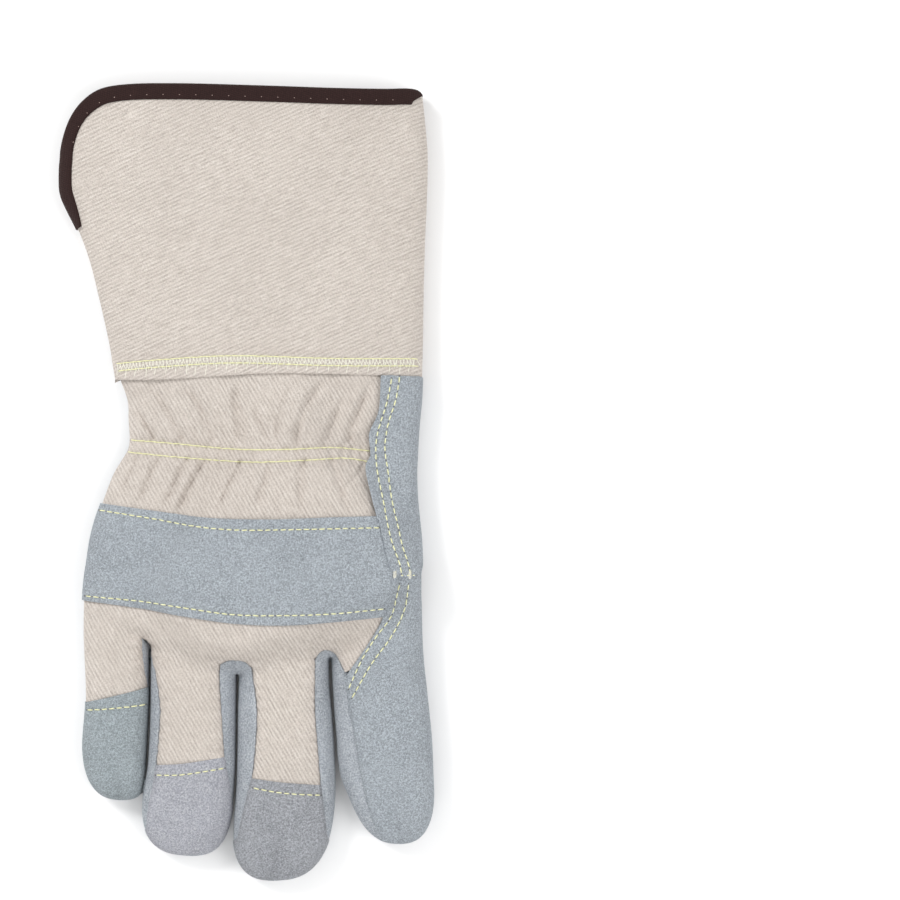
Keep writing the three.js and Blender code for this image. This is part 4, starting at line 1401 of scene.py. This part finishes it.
    def strap(self) -> bpy.types.Object:
        """Build the knuckle strap across the back."""
        top = line_px(*self.STRAP_TOP)
        low = line_px(*self.STRAP_LOW)
        left = HAND.silhouette(-1, 503, 600.5) - [self.OVERLAP, 0]
        right = line_px((385, 515.2), (389, 540), (396, 566), (399, 577), (393.5, 592), (384, 616.5))
        outline = joined(top, right, low[::-1], left[::-1])
        rows = (line_px(*self.STRAP_TOP_ROW), line_px(*self.STRAP_LOW_ROW))
        panel = Panel(outline, self.overlay, Side.BACK, raise_by=self.STRAP_RISE,
                      free_lines=(top, low), rows=rows, rims=(left,))
        piece = Piece("strap_leather", "knuckle_strap", "leather", self.materials["suede"],
                      (140, 46), ("back_canvas",))
        return make_sheet(piece, (panel,))

    def caps(self) -> list[bpy.types.Object]:
        """Build the three fingertip caps."""
        out = np.array([self.CAP_OVERLAP, 0])
        pinky, ring, middle = (FINGERS[name] for name in ("pinky", "ring", "middle"))
        rims = {
            "pinky": (pinky.silhouette(1, 688, 802) + out, pinky.silhouette(-1, 703, 802) - out),
            "ring": (ring.silhouette(1, 810, 858) + out, ring.silhouette(-1, 832, 858) - out),
            "middle": (middle.silhouette(1, 842, 883) + out, middle.silhouette(-1, 843, 883) - out),
        }
        none = np.empty((0, 2))
        seams = {
            "pinky": (none, none),
            "ring": (self.seams["RING_RIGHT_SEAM"], self.seams["RING_LEFT_SEAM"]),
            "middle": (self.seams["MIDDLE_RIGHT_SEAM"], self.seams["MIDDLE_LEFT_SEAM"]),
        }
        flats = {"pinky": (36, 46), "ring": (44, 44), "middle": (44, 48)}
        slots = {"pinky": "leather_green_grey", "ring": "leather_lavender_grey",
                 "middle": "leather_dark_grey"}
        made = []
        for name, (right, left) in rims.items():
            top = line_px(*self.CAPS[name])
            right_seam, left_seam = seams[name]
            outline = joined(top, right_seam, right, left[::-1], left_seam[::-1])
            sewn = tuple(seam for seam in seams[name] if len(seam))
            panel = Panel(outline, self.fingertip, Side.BACK, raise_by=self.CAP_RISE,
                          free_lines=(top,), rows=(line_px(*self.CAP_ROWS[name]),),
                          seam_lines=sewn, rims=(right, left), groove_width=1.1)
            piece = Piece(f"cap_{name}", f"fingertip_{name}", slots[name], self.materials[name],
                          flats[name], ("back_canvas",))
            made.append(make_sheet(piece, (panel,), THIN_LEATHER))
        return made

    def webs(self) -> list[bpy.types.Object]:
        """Build the strips between neighbouring fingers."""
        pinky = joined(self.seams["PINKY_EDGE"], FINGERS["pinky"].silhouette(1, 646, 688)[::-1])
        ring_left = joined(self.seams["RING_LEFT"], self.seams["RING_LEFT_SEAM"],
                           FINGERS["ring"].silhouette(-1, 650, 832)[::-1],
                           line_px((147.8, 646), (146, 641)))
        ring_right = joined(line_px((221, 665), (228, 661.5), (236, 661), (236.7, 674)),
                            FINGERS["ring"].silhouette(1, 676, 810),
                            self.seams["RING_RIGHT_SEAM"][::-1], self.seams["RING_RIGHT"][::-1])
        middle_left = joined(line_px((251.2, 668), (246, 662.5), (236, 661), (236.7, 674)),
                             FINGERS["middle"].silhouette(-1, 676, 843),
                             self.seams["MIDDLE_LEFT_SEAM"][::-1], self.seams["MIDDLE_LEFT"][::-1])
        middle_right = joined(line_px((316, 659.5), (320, 653.5), (328, 651), (329.5, 662)),
                              FINGERS["middle"].silhouette(1, 664, 842),
                              self.seams["MIDDLE_RIGHT_SEAM"][::-1], self.seams["MIDDLE_RIGHT"][::-1])
        index_left = joined(line_px((343, 670), (335, 655.5), (328, 651), (329.8, 662)),
                            FINGERS["index"].silhouette(-1, 664, 841),
                            self.seams["INDEX_SEAM"][::-1])
        arms = {
            "pinky_ring": (pinky, ring_left), "ring_middle": (ring_right, middle_left),
            "middle_index": (middle_right, index_left),
        }
        flats = {"pinky_ring": (17, 115), "ring_middle": (24, 160), "middle_index": (27, 175)}
        made = []
        for name, outlines in arms.items():
            panels = [Panel(outline, back_height, Side.BACK, rings=(0.12, 0.4, 0.8), grid=1.0)
                      for outline in outlines]
            # The webs take the lighter suede, painted light on their shaded steep sides
            piece = Piece(f"web_{name}", f"forchette_{name}", "leather", self.materials["suede_web_painted_light"],
                          flats[name], ("palm_side",))
            made.append(make_sheet(piece, panels, WEB_LEATHER))
        return made

    def palm_outline(self) -> Points:
        """Return the palm's outline on the palm side, with the index and little fingers."""
        top = line_px((115, 377.5), (209, 376), (271, 374.5), (420.6, 377))
        right = HAND.silhouette(1, 377, 600)
        index_right = FINGERS["index"].silhouette(1, 604, 846)
        index_left = FINGERS["index"].silhouette(-1, 668, 846)[::-1]
        welt = line_px(*self.WELT)
        pinky_right = FINGERS["pinky"].silhouette(1, 660, 802)
        left = self.side_cut(377.5, 802)[::-1]
        return joined(top, right, index_right, index_left, welt[::-1], pinky_right, left)

    def under(self, points: Points) -> np.ndarray:
        """Return the palm's height, tucked in behind the thumb leather at its root."""
        along, across = THUMB.coordinates(points)
        over = THUMB.half_width(along) - np.abs(across)
        root = ease(-4, 4, over) * (1 - ease(4, 26, along)) * (along > -12)
        soft = 0.25 * waves(points, 26, 51) * ease(0.5, 4, front_height(points))
        return front_height(points) + np.maximum(soft, -0.2) + 2.0 * root

    def palm(self) -> bpy.types.Object:
        """Build the palm leather, which wraps the index finger."""
        index, pinky = FINGERS["index"], FINGERS["pinky"]
        rims = (self.side_cut(377.5, 802), pinky.silhouette(1, 660, 802),
                np.vstack([HAND.silhouette(1, 560, 600), index.silhouette(1, 604, 846)]),
                index.silhouette(-1, 668, 846))
        front = Panel(self.palm_outline(), self.under, Side.FRONT,
                      closes=tuple((rim, back_height) for rim in rims))
        side = np.vstack([HAND.silhouette(1, 572, 600), index.silhouette(1, 604, 846)])
        outline = joined(line_px((421, 572), (399, 573)), self.diagonal,
                         line_px((346, 676), (344.5, 673), (343, 670))[1:-1],
                         self.seams["INDEX_SEAM"], index.silhouette(-1, 842, 846), side[::-1])
        rows = (line_px(*self.DIAGONAL_INNER), line_px(*self.DIAGONAL_OUTER))
        back = Panel(outline, self.leather, Side.BACK, raise_by=self.PALM_RISE, rows=rows, rims=(side,),
                     free_lines=(self.diagonal,), seam_lines=(self.seams["INDEX_SEAM"],))
        piece = Piece("palm_side", "palm_leather", "leather", self.materials["suede"],
                      (205, 190), ("floor",))
        return make_sheet(piece, (front, back))

    def fronts(self) -> bpy.types.Object:
        """Build the front of the ring and middle fingers."""
        ring, middle = FINGERS["ring"], FINGERS["middle"]
        welt = line_px(*self.WELT)
        rims = (middle.silhouette(1, 662, 883), middle.silhouette(-1, 676, 883),
                ring.silhouette(1, 676, 858), ring.silhouette(-1, 660, 858))
        outline = joined(welt, rims[0], rims[1][::-1], rims[2], rims[3][::-1])
        panel = Panel(outline, front_height, Side.FRONT,
                      closes=tuple((rim, back_height) for rim in rims))
        piece = Piece("two_finger_front", "middle_ring_front", "leather", self.materials["suede"],
                      (78, 100), ("floor",))
        return make_sheet(piece, (panel,))

    def welt(self) -> bpy.types.Object:
        """Build the narrow welt across the finger roots on the palm side."""
        line = line_px(*self.WELT)
        outline = joined(line + [0, 1.3], (line - [0, 1.3])[::-1])
        panel = Panel(outline, front_height, Side.FRONT, raise_by=0.5, rings=(0.4, 0.9), grid=0.8)
        piece = Piece("welt_strip", "finger_welt", "leather", self.materials["suede"])
        return make_sheet(piece, (panel,), WELT_LEATHER)

    def thumb_low(self, points: Points) -> np.ndarray:
        """Return the lower face of the thumb leather, from the hand's edge to the thumb's tip."""
        along, _ = THUMB.coordinates(points)
        share = ease(-6, 16, along)
        edge = HAND.bottom(grown(points, self.OVERLAP))
        return (1 - share) * edge + share * THUMB.surface(Side.FRONT)(points)

    def thumb(self) -> list[bpy.types.Object]:
        """Build the thumb's leather with its side strip, and the thumb's other half."""
        free = THUMB.outline()
        along, _ = THUMB.coordinates(free)
        edge = HAND.silhouette(1, 377.5, 576)
        edge[:, 0] += self.OVERLAP * ease(PHOTO.along(576), PHOTO.along(562), edge[:, 1])
        within = free[free[:, 0] < HAND.edge(free[:, 1], 1) - 1.0]
        front_outline = joined(within, edge[::-1])
        front = Panel(front_outline, self.thumb_low, Side.FRONT, closes=((edge, self.overlay),))
        strip_outline = joined(line_px((382, 375.5), (421.4, 376.5)), edge,
                               line_px((421.3, 576), (408, 577), (396.5, 575)), self.strip[::-1])
        rows = (line_px(*self.STRIP_INNER), line_px(*self.STRIP_OUTER))
        back = Panel(strip_outline, self.overlay, Side.BACK, raise_by=self.STRIP_RISE, rows=rows,
                     rims=(edge,), free_lines=(self.strip,))
        piece = Piece("thumb_leather", "thumb_front", "leather", self.materials["suede"],
                      (118, 110), ("floor",))
        made = [make_sheet(piece, (front, back))]
        far = free[(along > THUMB.mouth + 1) & (free[:, 0] < HAND.edge(free[:, 1], 1) - 2.0)]
        panel = Panel(far, THUMB.surface(Side.BACK), Side.BACK)
        piece = Piece("thumb_inner", "thumb_back", "leather", self.materials["suede"],
                      (62, 88), ("thumb_leather",))
        made.append(make_sheet(piece, (panel,)))
        return made

    def patch(self, cuff: Cuff) -> bpy.types.Object:
        """Build the leather patch on the cuff's lower side."""
        top = line_px((101, 289), (150, 287), (228, 286), (262, 288.5), (290, 296), (312, 308),
                      (322, 323))
        right = line_px((322, 323), (320, 342), (310, 369))
        low = line_px((310, 369), (240, 371), (118, 371))
        left = CUFF.silhouette(-1, 291, 369)[::-1] + [1.2, 0]
        outline = joined(top, right, low, left)
        panel = Panel(outline, cuff.front, Side.FRONT, raise_by=self.PATCH_RISE,
                      free_lines=(top, right, low))
        piece = Piece("cuff_patch", "pulse_patch", "leather", self.materials["suede"],
                      (90, 36), ("floor",))
        return make_sheet(piece, (panel,), THIN_LEATHER)

    def rows(self) -> list[StitchRow]:
        """Return the rows of stitches on the back."""
        made = [StitchRow(line_px(*row), self.cloth, period=2.8, length=2.85, radius=0.22,
                          raise_by=0.0, pierced=False) for row in ELASTIC_ROWS]
        stitched = (
            (self.STRAP_RISE, self.overlay, (self.STRAP_TOP_ROW, self.STRAP_LOW_ROW)),
            (self.STRIP_RISE, self.overlay, (self.STRIP_INNER, self.STRIP_OUTER)),
            (self.PALM_RISE, self.leather, (self.DIAGONAL_INNER, self.DIAGONAL_OUTER)),
            (self.CAP_RISE, self.fingertip, tuple(self.CAP_ROWS.values())),
        )
        for rise, surface, lines in stitched:
            made += [StitchRow(line_px(*line), surface, raise_by=rise - self.THREAD_SINK)
                     for line in lines]
        made.append(StitchRow(line_px((400, 574.5), (417, 574.5)), self.overlay, period=2.0,
                              length=1.2, raise_by=1.9))
        return made


@dataclass(frozen=True)
class Lamp:
    """A soft area light that looks at the glove."""

    name: str
    place: tuple[float, float, float]
    size: float
    power: float

    def hang(self) -> None:
        """Add the light to the scene."""
        bpy.ops.object.select_all(action="DESELECT")
        bpy.ops.object.light_add(type="AREA", location=self.place)
        lamp = bpy.context.object
        lamp.name = self.name
        lamp.data.shape = "DISK"
        lamp.data.size = self.size
        lamp.data.energy = self.power
        lamp.rotation_euler = Vector(self.place).to_track_quat("Z", "Y").to_euler()


@dataclass(frozen=True)
class Studio:
    """The pale floor, the soft light and the camera."""

    lamps: tuple[Lamp, ...] = (
        Lamp("key", (-0.75, 0.7, 0.9), 0.5, 10.5),
        Lamp("fill", (0.95, -0.25, 1.0), 1.0, 8.0),
        Lamp("front", (-0.3, -1.0, 0.9), 0.9, 3.0),
    )
    paper: Colour = (0.93, 0.93, 0.93, 1.0)
    sky: float = 0.72
    camera_place: tuple[float, float, float] = (0.0798, 0.0132, 1.4775)
    lens: float = 150.0
    sensor: float = 36.0

    def floor(self) -> None:
        """Build the floor."""
        bpy.ops.object.select_all(action="DESELECT")
        bpy.ops.mesh.primitive_plane_add(size=12.0, location=(0, 0, 0))
        floor = bpy.context.object
        floor.name = "floor"
        paint = Paint("floor_paper")
        paint.set_constants(0.95, 0.0)
        paint.shader.inputs["Base Color"].default_value = self.paper
        floor.data.materials.append(paint.material)

    def light(self) -> None:
        """Light the scene from a pale sky and soft lamps."""
        for lamp in self.lamps:
            lamp.hang()
        world = bpy.data.worlds.new("studio")
        bpy.context.scene.world = world
        world.use_nodes = True
        sky = world.node_tree.nodes["Background"]
        sky.inputs["Color"].default_value = (1.0, 1.0, 1.0, 1.0)
        sky.inputs["Strength"].default_value = self.sky
        bpy.context.scene.view_settings.view_transform = "Standard"

    def camera(self) -> None:
        """Look straight down at the glove."""
        bpy.ops.object.camera_add(location=self.camera_place, rotation=(0, 0, 0))
        camera = bpy.context.object
        camera.name = "camera"
        camera.data.lens = self.lens
        camera.data.sensor_width = self.sensor
        camera.data.clip_start = 0.05
        bpy.context.scene.camera = camera


def bartack(threads: MeshParts, surface: Surface, centre: tuple[float, float], width: float,
            height: float) -> None:
    """Add a short bar of dense threads across a seam's end.

    Args:
        threads: Mesh that the threads go to.
        surface: Height that they lie on.
        centre: Pixel place of the bar's middle.
        width: Length of each thread in millimetres.
        height: Length of the bar in millimetres.
    """
    middle = PHOTO.place([centre])[0]
    rng = np.random.default_rng(3)
    for step in np.arange(-height / 2, height / 2, 0.38):
        share = np.linspace(-0.5, 0.5, 5)
        reach = width * rng.uniform(0.75, 1.1)
        spine = middle + np.column_stack([share * reach, np.full(5, step) + share * 0.5])
        z = surface(spine) + 0.18 - 2.4 * np.abs(share) ** 3
        strand(threads, spine, z, 0.14)


def sew(rows: Sequence[StitchRow], cuff: Cuff, hand: Hand,
        materials: dict[str, bpy.types.Material]) -> None:
    """Sew every row into one mesh of threads and one of painted shade at the needle holes."""
    threads, hole_shades, edging, dots = MeshParts(), MeshParts(), MeshParts(), MeshParts()
    for row in rows:
        row.lay(threads, hole_shades)
    cuff.overlock(edging)
    cuff.tape_row().lay(dots, hole_shades)
    for centre, width, height in Hand.BARTACKS:
        bartack(edging, lambda p: hand.overlay(p) + Hand.STRIP_RISE, centre, width, height)
    for parts, name in ((threads, "thread"), (hole_shades, "hole_shade"), (edging, "edging"),
                        (dots, "tape_dots")):
        material = materials[name]
        thing = parts.build(f"sewn_{name}")
        select_only(thing)
        bpy.ops.object.shade_smooth()
        thing.data.materials.append(material)
        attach(thing, "root")


def main() -> None:
    """Build the glove piece by piece, then its studio."""
    logging.basicConfig(level=logging.INFO, format="%(name)s: %(message)s")
    materials = {
        "suede": SUEDE.material(), "suede_web_painted_light": SUEDE_WEB_PAINTED_LIGHT.material(),
        "pinky": SUEDE_PINKY.material(), "ring": SUEDE_RING.material(),
        "middle": SUEDE_MIDDLE.material(), "twill_cuff": TWILL_CUFF.material(),
        "twill_back": TWILL_BACK.material(), "tape": Tape().material(),
        "thread": THREAD.material(), "hole_shade": HOLE_SHADE.material(), "edging": EDGE_THREAD.material(),
        "tape_dots": TAPE_THREAD.material(),
    }
    studio = Studio()
    studio.floor()
    cuff = Cuff()
    hand = Hand(materials)
    steps = (
        ("palm", hand.palm), ("finger fronts", hand.fronts), ("welt", hand.welt),
        ("thumb", hand.thumb), ("canvas back", hand.canvas), ("strap", hand.strap),
        ("caps", hand.caps), ("webs", hand.webs),
        ("cuff", lambda: cuff.canvas(materials["twill_cuff"])),
        ("tape", lambda: cuff.tape(materials["tape"])), ("patch", lambda: hand.patch(cuff)),
    )
    for label, step in steps:
        step()
        LOG.info("built the %s", label)
    sew(hand.rows() + cuff.stitches(), cuff, hand, materials)
    LOG.info("sewed the seams")
    studio.light()
    studio.camera()


if __name__ == "__main__":
    main()
